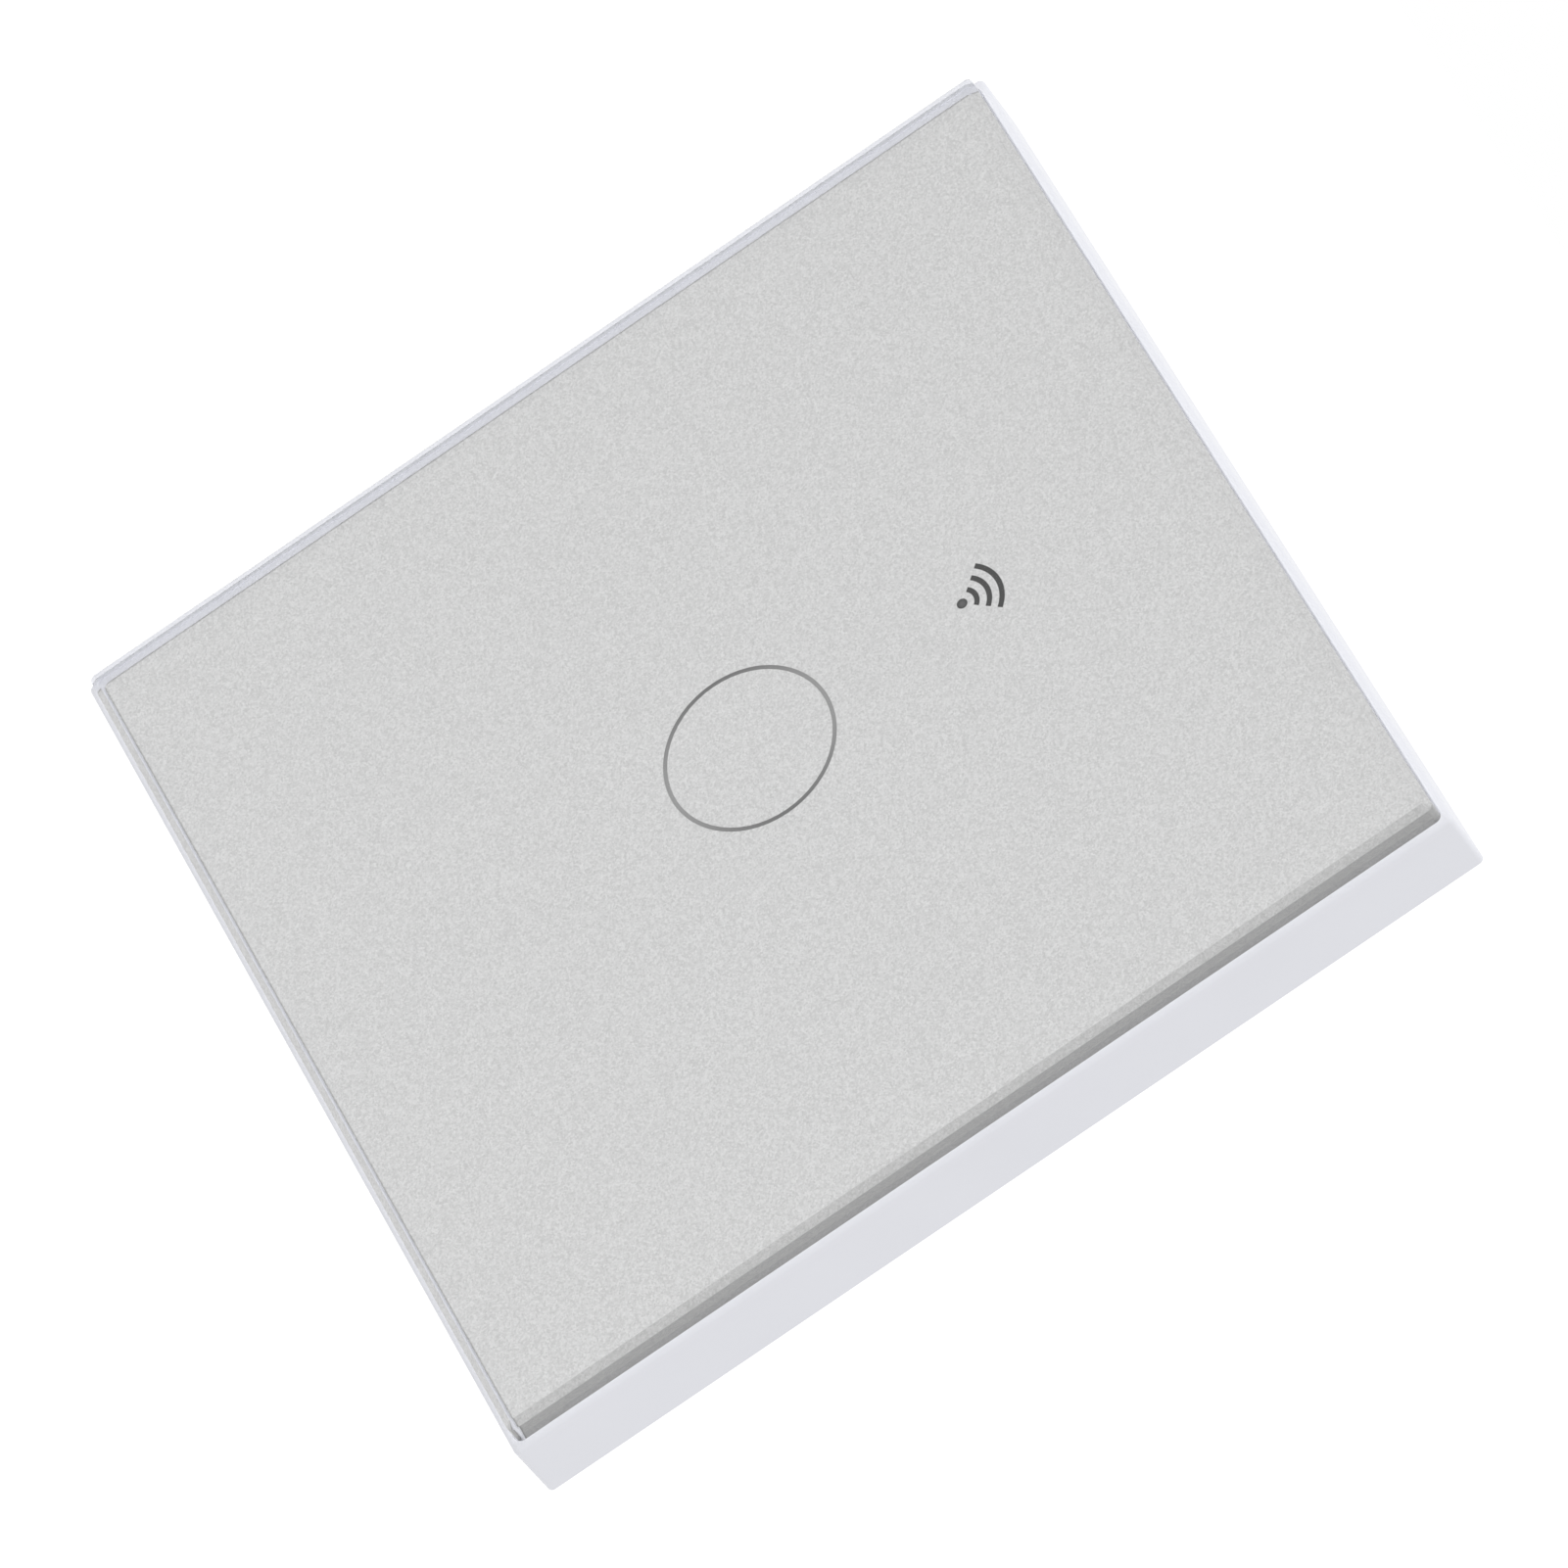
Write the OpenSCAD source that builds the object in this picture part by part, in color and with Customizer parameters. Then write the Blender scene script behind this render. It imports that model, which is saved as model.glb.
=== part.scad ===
// Touch light switch for a square wall box, one channel, with a removable glass front.
// Every module is drawn looking at the switch from the front: x to the right, y up, z out of the wall.
// The wall's surface is z = 0. on_wall() turns the drawing so that the front faces -Y and +Z is up.

/* [Wall plate] */
// Width and height of the square wall plate
plate_w = 86; // [85:0.5:88]
// Height of the plate's side wall above the wall
plate_h = 6.7; // [6.4:0.1:8]
// Thickness of the plate's side wall behind the glass
plate_wall = 2; // [1.6:0.1:2.4]
// Radius of the plate's upright corners
plate_corner_r = 0.5; // [0.5:0.1:2]
// Thickness of the thin lip around the glass
lip_t = 0.6; // [0.5:0.05:0.9]
// Rounding of the plate's front edge
lip_r = 0.45; // [0.2:0.05:0.45]
// Depth of the pocket that the glass sits in
pocket_depth = 0.9; // [0.6:0.1:1.3]
// Distance from the wall to the rear of the flange inside the plate
flange_z = 1.2; // [1:0.1:1.5]
// Thickness of that flange
flange_t = 1.8; // [1.5:0.1:2]
// How far the flange reaches in from the rear case's outer faces
window_rim = 2.6; // [2.4:0.1:3]
// Thickness of the stiffening ribs behind the flange
rib_t = 1; // [0.8:0.1:1.2]
// Ribs along each side of the plate
ribs_per_side = 4; // [2:2:6]
// Width of the slot for lifting the panel off
pry_w = 10; // [6:1:14]
// Height of that slot
pry_h = 1.8; // [1.4:0.1:2]

/* [Wall screws] */
// Distance between the two wall screws
wall_screw_pitch = 60.3; // [60:0.1:61]
// Width of each slot that a wall screw passes through
slot_w = 4; // [3.6:0.1:4.4]
// Length of each slot from end to end
slot_len = 5.4; // [5:0.1:5.8]
// Width of the pocket for a wall screw's head
head_pocket_w = 7.4; // [7:0.1:7.8]
// Thickness of the floor that the screw head bears on
head_seat_t = 1.2; // [1:0.1:1.6]

/* [Glass panel] */
// Thickness of the glass
glass_t = 3; // [2.5:0.1:4]
// Gap between the glass edge and the lip
glass_gap = 0.1; // [0.05:0.05:0.2]
// Bevel of the glass's front edge
glass_bevel = 0.55; // [0.3:0.05:0.55]
// Radius of the glass's corners
glass_corner_r = 0.6; // [0.6:0.1:2]
// Thickness of the printed coat on the back of the glass
print_t = 0.1; // [0.08:0.01:0.15]
// Clear margin between the glass edge and the print
print_margin = 0.55; // [0.3:0.05:0.9]
// Radius of the printed touch ring
ring_r = 7.15; // [6.9:0.05:7.4]
// Width of the ring's line
ring_line = 0.35; // [0.2:0.05:0.5]
// Height of the signal icon's dot above the ring's centre
icon_y = 19.9; // [19:0.1:20.5]
// Radius of the icon's dot
icon_dot_r = 0.45; // [0.3:0.05:0.6]
// Radius of the icon's first arc
icon_arc_r = 1.25; // [1.1:0.05:1.4]
// Step from one arc to the next
icon_arc_step = 1.05; // [0.9:0.05:1.1]
// Width of the arcs' line
icon_line = 0.45; // [0.3:0.05:0.5]
// Thickness of the adhesive tape behind the print
tape_t = 0.2; // [0.1:0.05:0.3]

/* [Panel carrier] */
// Thickness of the carrier's plate
carrier_t = 1.4; // [1.2:0.1:1.5]
// Gap between the carrier and the plate's side wall
carrier_gap = 1; // [0.6:0.1:1.5]
// Height of the carrier's stiffening ribs
carrier_rib_h = 0.9; // [0.5:0.1:1]
// Radius of the light guide's disc in the middle of the carrier
guide_disc_r = 12; // [11.5:0.1:12.5]
// Thickness of that disc
guide_disc_t = 0.7; // [0.5:0.1:0.8]
// Width of the light guide's ring
guide_ring_w = 1.6; // [1.2:0.1:1.8]
// Width of a spring clip
clip_w = 6; // [4:0.5:8]
// Thickness of a spring clip's steel
clip_t = 0.4; // [0.3:0.05:0.5]
// Distance of the spring clips above and below the middle
clip_y = 8; // [6:0.5:9.5]
// How far a spring clip hooks behind the flange
clip_bite = 0.6; // [0.3:0.1:0.7]

/* [Touch board] */
// Gap between the touch board and the edge of the flange's window
touch_board_gap = 1.7; // [1.6:0.1:2.1]
// Thickness of the touch board
touch_board_t = 1.2; // [1:0.1:1.4]
// Height of the touch board's front face above the wall
touch_board_z = 1; // [0.9:0.1:1.3]
// Distance of the board screws from the touch board's left and right edges
touch_screw_in_x = 6.5; // [6.1:0.1:6.9]
// Distance of the board screws from its upper and lower edges
touch_screw_in_y = 3.1; // [2.9:0.1:3.5]
// Radius of the touch spring at the middle of its wire
touch_spring_r = 4.2; // [3.5:0.1:4.8]
// Radius of the touch spring's wire
touch_wire_r = 0.3; // [0.2:0.05:0.35]
// Turns of the touch spring
touch_spring_turns = 4; // [3:1:5]
// Pins in each row of the board connector
header_pins_n = 4; // [3:1:5]
// Pitch of those pins
header_pitch = 2.54; // [2:0.02:2.54]
// Distance of the connector below the middle
header_y = 9.5; // [9:0.5:10]

/* [Rear case] */
// Width and height of the rear case
case_w = 48; // [47.6:0.1:48]
// Depth of the rear case behind the wall's surface
case_depth = 26; // [25:0.5:30]
// Thickness of the rear case's walls
case_wall = 1.6; // [1.4:0.1:1.6]
// Radius of the rear case's upright corners
case_corner_r = 3; // [2:0.5:4]
// Rounding of the rear case's rear edge
case_edge_r = 1; // [0.6:0.1:1.2]
// Distance of the case screws from the rear case's outer faces
case_screw_in = 5; // [4.9:0.1:5.1]
// Radius of the case screws' shanks
case_screw_r = 1.3; // [1:0.1:1.4]
// Radius of the case screws' heads
case_screw_head_r = 2.3; // [2.1:0.1:2.3]
// Radius of the case's screw towers
tower_r = 3.2; // [3.1:0.1:3.2]
// Vent slots in the top of the rear case
vents_n = 7; // [3:1:9]
// Width of a vent slot
vent_w = 1.3; // [1:0.1:1.6]
// Length of a vent slot
vent_len = 10; // [6:0.5:11]

/* [Power board] */
// Distance from the wall's surface back to the power board's front face
board_back = 5; // [4.8:0.1:5.4]
// Thickness of the power board
board_t = 1.6; // [1.4:0.1:1.6]
// How far component leads stand out of the power board's front face
lead_out = 0.8; // [0.6:0.1:1]

/* [Terminals] */
// Distance between neighbouring terminals
terminal_pitch = 9.4; // [9.2:0.1:9.6]
// Width of the way in for a wire
wire_w = 3.8; // [3.4:0.1:3.9]
// Opening of a wire clamp at rest
wire_gap = 3.6; // [3.4:0.1:3.8]
// Travel of a wire clamp
clamp_travel = 3; // [2.6:0.1:3.2]
// Thickness of a wire clamp's side walls and floor
clamp_wall = 1; // [0.8:0.1:1.1]
// Thickness of a wire clamp's threaded roof
clamp_roof = 2; // [1.8:0.1:2.2]
// Length of a wire clamp along the wire
clamp_len = 5.6; // [5:0.1:5.6]
// Thickness of the current bars
bar_t = 1.2; // [1:0.1:1.4]
// Radius of a terminal screw's shank
terminal_screw_r = 1.5; // [1.2:0.1:1.6]
// Radius of a terminal screw's head
terminal_head_r = 2.4; // [2.2:0.1:2.5]
// Height of a terminal screw's head
terminal_head_h = 2; // [1.8:0.1:2]

/* [Relay] */
// Length of the relay
relay_l = 19; // [18.6:0.1:19.2]
// Width of the relay
relay_w = 15.5; // [15:0.1:15.6]
// Gap between the relay's cover and the floor of the rear case
relay_room = 2.5; // [2.2:0.1:2.6]
// Thickness of the relay's cover
relay_wall = 0.7; // [0.5:0.1:0.8]
// Swing of the relay's armature in degrees
armature_swing = 3.2; // [2:0.1:3.2]

/* [Fits] */
// Clearance between pieces that lie beside each other
fit = 0.1; // [0.05:0.01:0.12]
// Clearance in radius between a screw or pin and its hole
run_fit = 0.05; // [0.03:0.01:0.08]

/* [Hidden] */

big = 64;
small = 32;
over = 1;

// Levels of the front, from the wall outwards
flange_top = flange_z + flange_t;
ledge_z = plate_h - pocket_depth;
glass_back = ledge_z + print_t;
glass_front = glass_back + glass_t;
carrier_front = ledge_z - tape_t;
carrier_back = carrier_front - carrier_t;
touch_back = touch_board_z - touch_board_t;

// Widths of the front
inner_w = plate_w - 2 * plate_wall;
pocket_w = plate_w - 2 * lip_t;
glass_w = pocket_w - 2 * glass_gap;
print_w = glass_w - 2 * print_margin;
carrier_w = inner_w - 2 * carrier_gap;
pocket_corner_r = glass_corner_r + glass_gap;
print_corner_r = 0.6;
glass_back_bevel = 0.15;

// Levels and widths of the rear
case_in = case_w - 2 * case_wall;
case_screw_x = case_w / 2 - case_screw_in;
window_w = case_w - 2 * window_rim;
touch_board_w = window_w - 2 * touch_board_gap;
touch_screw_x = touch_board_w / 2 - touch_screw_in_x;
touch_screw_y = touch_board_w / 2 - touch_screw_in_y;
board_front = -board_back;
board_rear = board_front - board_t;
board_w = case_in - 4 * fit;
case_floor = -case_depth + case_wall;
post_r = case_screw_r + 1.5;
gusset_r = post_r + 0.8;
board_corner_cut_r = gusset_r + 0.7;

// Case screws
case_head_h = 1.7;
case_head_seat = -case_depth + 3.6;
case_screw_top = flange_z - 1.5;

// Terminal block, measured in the board's plane
block_w = 2 * (case_screw_x - tower_r - 0.4);
block_front_y = -case_in / 2 + fit;
port_wall = 1.4;
cage_y0 = block_front_y + port_wall + fit;
cage_y1 = cage_y0 + clamp_len;
terminal_y = (cage_y0 + cage_y1) / 2;
leg_y0 = cage_y1 + fit + 0.8 + fit;
leg_t = 1;
block_back_y = leg_y0 + leg_t + fit + 0.7;
cage_in_w = wire_w + 0.2;
cage_w = cage_in_w + 2 * clamp_wall;
bar_w = cage_in_w - 4 * fit;

// Terminal levels
cage_floor_z = board_rear - 0.8;
wire_z0 = cage_floor_z - clamp_wall;
bar_z = wire_z0 - wire_gap;
bar_back = bar_z - bar_t;
roof_gap = 0.3;
roof_z = bar_back - roof_gap;
cage_back = roof_z - clamp_roof;
screw_tip_z = bar_back - 2 * fit;
head_z = cage_back - clamp_travel - 1;
head_seat_z = head_z + fit;
head_back = head_z - terminal_head_h;
block_back_z = case_floor + fit;
block_h = board_rear - block_back_z;
terminal_names = ["line", "neutral", "load"];

// Relay, on the board's rear face
relay_h = board_rear - case_floor - relay_room;
relay_x = -relay_l / 2 + 1.4;
relay_y = block_back_y + relay_w / 2 + 0.7;
relay_top_y = relay_y + relay_w / 2;
relay_foot = 0.3;
relay_in_l = relay_l - 2 * relay_wall;
relay_in_w = relay_w - 2 * relay_wall;
relay_base_l = relay_in_l - 2 * fit;
relay_base_w = relay_in_w - 2 * fit;
relay_base_t = 2;
relay_floor = relay_foot + relay_base_t;
relay_pin_r = 0.5;
relay_coil_pin_x = -6;
relay_coil_pin_y = 6;
relay_corner_r = 0.8;
relay_edge_r = 0.5;
yoke_t = 1.2;
yoke_w = 8;
yoke_reach = 3.4;
yoke_x = -relay_base_l / 2 + 0.5;
core_x = yoke_x + 7.8;
core_r = 1.5;
pole_r = 3;
pole_t = 0.5;
pole_top = relay_h - 2.9;
hinge_x = yoke_x + yoke_t / 2;
hinge_z = pole_top + (core_x + pole_r - hinge_x) * sin(armature_swing) + 0.08;
armature_t = 1;
armature_w = 8.8;
blade_t = 0.2;
blade_w = 4.8;
rivet_r = 0.5;
rivet_y = 1.5;
contact_x = relay_base_l / 2 - 1.9;
contact_r = 1.2;
contact_drop = (contact_x + contact_r - hinge_x) * sin(armature_swing);
fixed_contact_top = hinge_z + 0.3 - contact_drop - 0.06;
shelf_z = fixed_contact_top - 1.2;
fixed_pin_x = contact_x + 1.5;
fixed_plate_t = 0.5;
fixed_plate_w = 4;
bobbin_z0 = relay_floor + yoke_t + 0.2;
bobbin_z1 = pole_top - 0.6;
bobbin_w = 10.4;
coil_flange_t = 0.7;
coil_tube_t = 0.6;
coil_r = bobbin_w / 2 - 0.5;

// Transformer
transformer_x = relay_x + relay_l / 2 + 9;
transformer_y = relay_y - 0.8;
core_leg = 1.5;
core_half_l = 6.6;
core_half_w = 3;
core_z0 = 1.6;
core_z1 = 13.4;
core_yoke = 1.8;
core_window_x = 4.6;
bobbin_tube = 0.7;
bobbin_flange_y = 6;
bobbin_flange_t = 0.8;
winding_d = 11.2;
winding_corner_r = 1.2;
transformer_pin_pitch = 3.5;
transformer_pin_y = 5.4;
transformer_pin_r = 0.4;

// Other parts on the power board
part_gap = 0.3;
lead_r = 0.3;
stout_lead_r = 0.35;
lead_hole_r = 0.6;
can_edge_r = 0.5;
can_groove_r = 0.6;
can_groove_depth = 0.25;
can_groove_z = 1.6;
choke_r = 2.9;
choke_h = 7.5;
choke_lead_x = 1.5;
choke_x = -case_in / 2 + part_gap + choke_r;
choke_y = relay_top_y + part_gap + choke_r;
mains_cap_r = 4;
mains_cap_h = 12.5;
mains_lead_x = 1.75;
mains_cap_x = choke_x + choke_r + 0.5 + mains_cap_r;
mains_cap_y = relay_top_y + part_gap + mains_cap_r;
output_cap_r = 3.15;
output_cap_h = 9;
output_lead_x = 1.25;
output_cap_x = mains_cap_x + mains_cap_r + 1.5 + output_cap_r;
output_cap_y = relay_top_y + part_gap + output_cap_r;
film_cap_w = 13;
film_cap_d = 5;
film_cap_h = 11;
film_corner_r = 0.6;
film_edge_r = 0.4;
film_lead_x = 5;
film_cap_x = -4;
film_cap_y = case_in / 2 - part_gap - film_cap_d / 2;
varistor_r = 4.5;
varistor_t = 3.4;
varistor_lead_x = 2.5;
varistor_x = film_cap_x + film_cap_w / 2 + 1 + varistor_r;
varistor_y = case_in / 2 - 0.6 - varistor_t;
fuse_r = 1.8;
fuse_len = 8;
fuse_lead_x = 5.4;
fuse_x = case_in / 2 - 1.7 - fuse_lead_x;
fuse_y = relay_top_y + 1.2 + fuse_r;

// Chips, each with its width, depth and height
supply_chip = [5, 4, 1.6];
rectifier_chip = [6, 4.4, 1.7];
driver_chip = [3, 1.6, 1.2];
touch_chip = [5, 4, 1.5];
memory_chip = [3, 3, 0.9];
chip_lift = 0.15;
chip_leg_w = 0.4;
chip_leg_len = 1;
chip_leg_t = 0.3;

// Wireless module on the touch board
module_w = 16;
module_d = 20;
module_t = 0.8;
module_y = 5.6;
module_pads_n = 7;
module_pad_pitch = 2;
module_pad_r = 0.4;
module_pad_y = module_y - 8;
shield_w = 12.4;
shield_d = 13.6;
shield_h = 2.2;
shield_wall = 0.2;
shield_y = module_y - 2.6;

// Light guides and LEDs
led_w = 1.6;
led_d = 0.8;
led_h = 0.6;
guide_top = ledge_z - fit / 2;
guide_bottom = touch_board_z + led_h + 0.3;
guide_disc_z = carrier_front - guide_disc_t;
icon_guide_w = 6.4;
icon_guide_y0 = icon_y - 4.4;
icon_guide_y1 = icon_y + 4.2;
icon_led_y = icon_guide_y0 + 1.4;
icon_guide_back = carrier_back - 0.6;

// Spring clips, at the left and right edges of the flange's window
clip_x = window_w / 2 - 1.1;
clip_tab_len = 5.4;
clip_peg_r = 0.9;
clip_peg_x = clip_x - 3.4;

// Touch board fasteners
touch_post_r = 2.1;
touch_screw_shank = 0.8;
touch_screw_head_r = 1.5;
touch_screw_head_h = 1;
touch_screw_len = 4;
touch_drive_w = 0.5;
touch_drive_len = 2;

// Board connector
header_w = header_pins_n * header_pitch + 0.1;
header_d = 2 * header_pitch + 0.1;
header_base_h = 1.6;
header_pin_w = 0.64;
contact_w = 0.6;
contact_t = 0.2;
socket_top = touch_back - header_base_h - 0.3;

// Turns a drawing with z out of the wall into the wall's own frame
module on_wall() {
    rotate([90, 0, 0]) children();
}

// Stands a component on the power board's rear face, with its own z away from the board
module on_board(x, y) {
    translate([x, y, board_rear]) rotate([180, 0, 0]) children();
}

module each_corner(x, y) {
    for (sx = [-1, 1], sy = [-1, 1]) translate([sx * x, sy * y, 0]) children();
}

module round_rect(w, h, r) {
    square([w - 2 * r, h], center = true);
    square([w, h - 2 * r], center = true);
    each_corner(w / 2 - r, h / 2 - r) circle(r, $fn = small);
}

module slot_shape(len, w) {
    square([len - w, w], center = true);
    for (s = [-1, 1]) translate([s * (len - w) / 2, 0]) circle(w / 2, $fn = small);
}

module prism(z0, z1) {
    translate([0, 0, min(z0, z1)]) linear_extrude(abs(z1 - z0)) children();
}

module block(x0, x1, y0, y1, z0, z1) {
    translate([min(x0, x1), min(y0, y1), min(z0, z1)])
        cube([abs(x1 - x0), abs(y1 - y0), abs(z1 - z0)]);
}

module rod(r, z0, z1, sides = small) {
    translate([0, 0, min(z0, z1)]) cylinder(r = r, h = abs(z1 - z0), $fn = sides);
}

// Edge sections, drawn with the outer face at x = 0 and reaching rc inwards
module rounded_edge(rc, h, r) {
    difference() {
        translate([-rc, 0]) square([rc, h]);
        translate([-r, h - r]) difference() {
            square(r + over);
            circle(r, $fn = small);
        }
    }
}

module bevelled_edge(rc, h, front, back) {
    polygon([[-rc, 0], [-back, 0], [0, back], [0, h - front], [-front, h], [-rc, h]]);
}

// A square slab of width w and height h whose edge section runs around true round corners
module edged_slab(w, d, h, rc) {
    each_corner(w / 2 - rc, d / 2 - rc) rotate_extrude($fn = big) intersection() {
        translate([rc, 0]) children();
        square([rc, h]);
    }
    rotate([90, 0, 90]) linear_extrude(w - 2 * rc, center = true) edged_section(d, h, rc) children();
    rotate([90, 0, 0]) linear_extrude(d - 2 * rc, center = true) edged_section(w, h, rc) children();
}

module edged_section(d, h, rc) {
    translate([d / 2, 0]) children();
    mirror([1, 0]) translate([d / 2, 0]) children();
    translate([rc - d / 2, 0]) square([d - 2 * rc, h]);
}

function rib_offset(i) = (i - (ribs_per_side - 1) / 2) * inner_w / (ribs_per_side + 0.6);

// Base

module flange_ribs() {
    reach = (inner_w - case_w) / 2 - fit;
    for (turn = [0:90:270], i = [0:ribs_per_side - 1])
        rotate([0, 0, turn])
            block(case_w / 2 + fit, case_w / 2 + fit + reach, rib_offset(i) - rib_t / 2,
                rib_offset(i) + rib_t / 2, 0, flange_z);
    difference() {
        prism(0, flange_z) round_rect(case_w + 2 * fit + 2 * rib_t, case_w + 2 * fit + 2 * rib_t,
            case_corner_r + fit + rib_t);
        prism(-over, flange_z + over) round_rect(case_w + 2 * fit, case_w + 2 * fit,
            case_corner_r + fit);
    }
}

module wall_screw_boss() {
    boss_wall = 0.9;
    prism(0, flange_top) slot_shape(head_pocket_w + slot_len - slot_w + 2 * boss_wall,
        head_pocket_w + 2 * boss_wall);
}

module wall_screw_cut() {
    prism(-over, flange_top + over) slot_shape(slot_len, slot_w);
    prism(head_seat_t, flange_top + over) slot_shape(head_pocket_w + slot_len - slot_w,
        head_pocket_w);
}

module base_frame() {
    color("whitesmoke") on_wall() difference() {
        union() {
            difference() {
                edged_slab(plate_w, plate_w, plate_h, plate_corner_r)
                    rounded_edge(plate_corner_r, plate_h, lip_r);
                prism(ledge_z, plate_h + over) round_rect(pocket_w, pocket_w, pocket_corner_r);
                prism(flange_top, plate_h) round_rect(inner_w, inner_w, pocket_corner_r);
                prism(-over, flange_z) round_rect(inner_w, inner_w, pocket_corner_r);
                prism(0, plate_h) square(window_w, center = true);
                translate([0, -plate_w / 2, 0])
                    block(-pry_w / 2, pry_w / 2, -over, plate_wall + over, flange_top + 0.4,
                        flange_top + 0.4 + pry_h);
            }
            flange_ribs();
            for (s = [-1, 1]) translate([s * wall_screw_pitch / 2, 0, 0]) wall_screw_boss();
            each_corner(case_screw_x, case_screw_x) {
                rod(gusset_r, flange_z, flange_top);
                rod(post_r, board_front, flange_z);
            }
        }
        for (s = [-1, 1]) translate([s * wall_screw_pitch / 2, 0, 0]) wall_screw_cut();
        each_corner(case_screw_x, case_screw_x)
            rod(case_screw_r + run_fit, board_front - over, case_screw_top + 0.4);
    }
}

module wire_port_cut(depth0, depth1, w) {
    for (i = [-1:1])
        block(i * terminal_pitch - w / 2, i * terminal_pitch + w / 2, depth0, depth1,
            wire_z0, bar_z);
}

module rear_housing() {
    color("whitesmoke") on_wall() difference() {
        union() {
            difference() {
                translate([0, 0, flange_z]) rotate([180, 0, 0])
                    edged_slab(case_w, case_w, case_depth + flange_z, case_corner_r)
                        rounded_edge(case_corner_r, case_depth + flange_z, case_edge_r);
                prism(case_floor, flange_z + over)
                    round_rect(case_in, case_in, case_corner_r - case_wall);
            }
            each_corner(case_screw_x, case_screw_x) rod(tower_r, case_floor, board_rear);
        }
        each_corner(case_screw_x, case_screw_x) {
            rod(case_screw_r + run_fit, -case_depth - over, board_rear + over);
            rod(case_screw_head_r + 2 * fit, -case_depth - over, case_head_seat);
        }
        for (i = [-1:1]) translate([i * terminal_pitch, terminal_y, 0]) {
            rod(terminal_head_r - 0.2, -case_depth - over, case_floor + over);
            translate([0, 0, -case_depth])
                cylinder(r1 = terminal_head_r + 0.6, r2 = terminal_head_r - 0.2, h = 0.8, $fn = small);
        }
        wire_port_cut(-case_w / 2 - over, block_front_y, wire_w);
        for (i = [0:vents_n - 1])
            translate([(i - (vents_n - 1) / 2) * vent_w * 2.2, case_w / 2, board_rear - vent_len / 2 - 3])
                block(-vent_w / 2, vent_w / 2, -case_wall - over, over, -vent_len / 2, vent_len / 2);
    }
}

module case_screw() {
    drive_w = 0.7;
    difference() {
        union() {
            rod(case_screw_r, case_head_seat, case_screw_top - case_screw_r);
            translate([0, 0, case_screw_top - case_screw_r])
                cylinder(r1 = case_screw_r, r2 = case_screw_r / 3, h = case_screw_r, $fn = small);
            rod(case_screw_head_r, case_head_seat - case_head_h, case_head_seat);
        }
        for (turn = [0, 90]) rotate([0, 0, turn])
            block(-case_screw_head_r * 0.65, case_screw_head_r * 0.65, -drive_w / 2, drive_w / 2,
                case_head_seat - case_head_h - over, case_head_seat - case_head_h * 0.4);
    }
}

module housing_screws() {
    color("silver") on_wall() each_corner(case_screw_x, case_screw_x) case_screw();
}

// Power board and the parts on it

module lead_hole() {
    rod(lead_hole_r, board_rear - over, board_front + over);
}

module power_board() {
    color("darkgreen") on_wall() difference() {
        prism(board_front, board_rear) round_rect(board_w, board_w, case_corner_r - case_wall);
        each_corner(case_screw_x, case_screw_x)
            rod(case_screw_r + 2 * fit, board_rear - over, board_front + over);
        for (i = [-1:1]) translate([i * terminal_pitch, leg_y0 + leg_t / 2, 0])
            block(-1, 1, -leg_t / 2 - fit, leg_t / 2 + fit, board_rear - over, board_front + over);
        translate([relay_x, relay_y, 0]) relay_pins_at() lead_hole();
        translate([transformer_x, transformer_y, 0]) transformer_pins_at() lead_hole();
        translate([mains_cap_x, mains_cap_y, 0]) lead_pair(mains_lead_x) lead_hole();
        translate([output_cap_x, output_cap_y, 0]) lead_pair(output_lead_x) lead_hole();
        translate([film_cap_x, film_cap_y, 0]) lead_pair(film_lead_x) lead_hole();
        translate([choke_x, choke_y, 0]) lead_pair(choke_lead_x) lead_hole();
        translate([varistor_x, varistor_y, 0]) lead_pair(varistor_lead_x) lead_hole();
        translate([fuse_x, fuse_y, 0]) lead_pair(fuse_lead_x) lead_hole();
    }
}

function header_x(i) = (i - (header_pins_n - 1) / 2) * header_pitch;

module header_grid() {
    for (i = [0:header_pins_n - 1], j = [-1, 1])
        translate([header_x(i), -header_y + j * header_pitch / 2, 0]) children();
}

module square_prism(w, z0, z1) {
    block(-w / 2, w / 2, -w / 2, w / 2, z0, z1);
}

module header_socket() {
    color("dimgray") on_wall() difference() {
        translate([0, -header_y, 0])
            block(-header_w / 2, header_w / 2, -header_d / 2, header_d / 2, board_front, socket_top);
        header_grid() square_prism(header_pin_w + 2 * fit, board_front - over, socket_top + over);
        header_grid() square_prism(header_pin_w + 6 * fit, socket_top - 0.4, socket_top + over);
        for (i = [0:header_pins_n - 1], s = [-1, 1]) translate([header_x(i), -header_y, 0])
            block(-contact_w / 2 - fit, contact_w / 2 + fit, s * header_pitch / 2,
                s * (header_d / 2 + over), board_front - over, board_front + contact_t + fit);
    }
}

module socket_contacts() {
    color("gold") on_wall() {
        header_grid() square_prism(contact_w, board_front, board_front + 0.4);
        for (i = [0:header_pins_n - 1], s = [-1, 1]) translate([header_x(i), -header_y, 0])
            block(-contact_w / 2, contact_w / 2, s * header_pitch / 2,
                s * (header_d / 2 + 0.8), board_front, board_front + contact_t);
    }
}

// A chip of size [width, depth, height] with gull-wing legs along both long sides
module chip(place, size, legs, z0) {
    half = size / 2;
    translate([place.x, place.y, z0]) {
        block(-half.x, half.x, -half.y, half.y, chip_lift, size.z);
        for (i = [0:legs - 1], s = [-1, 1])
            translate([(i - (legs - 1) / 2) * size.x / legs, s * (half.y + chip_leg_len / 2 - 0.05), 0])
                block(-chip_leg_w / 2, chip_leg_w / 2, -chip_leg_len / 2, chip_leg_len / 2, 0, chip_leg_t);
    }
}

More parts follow.
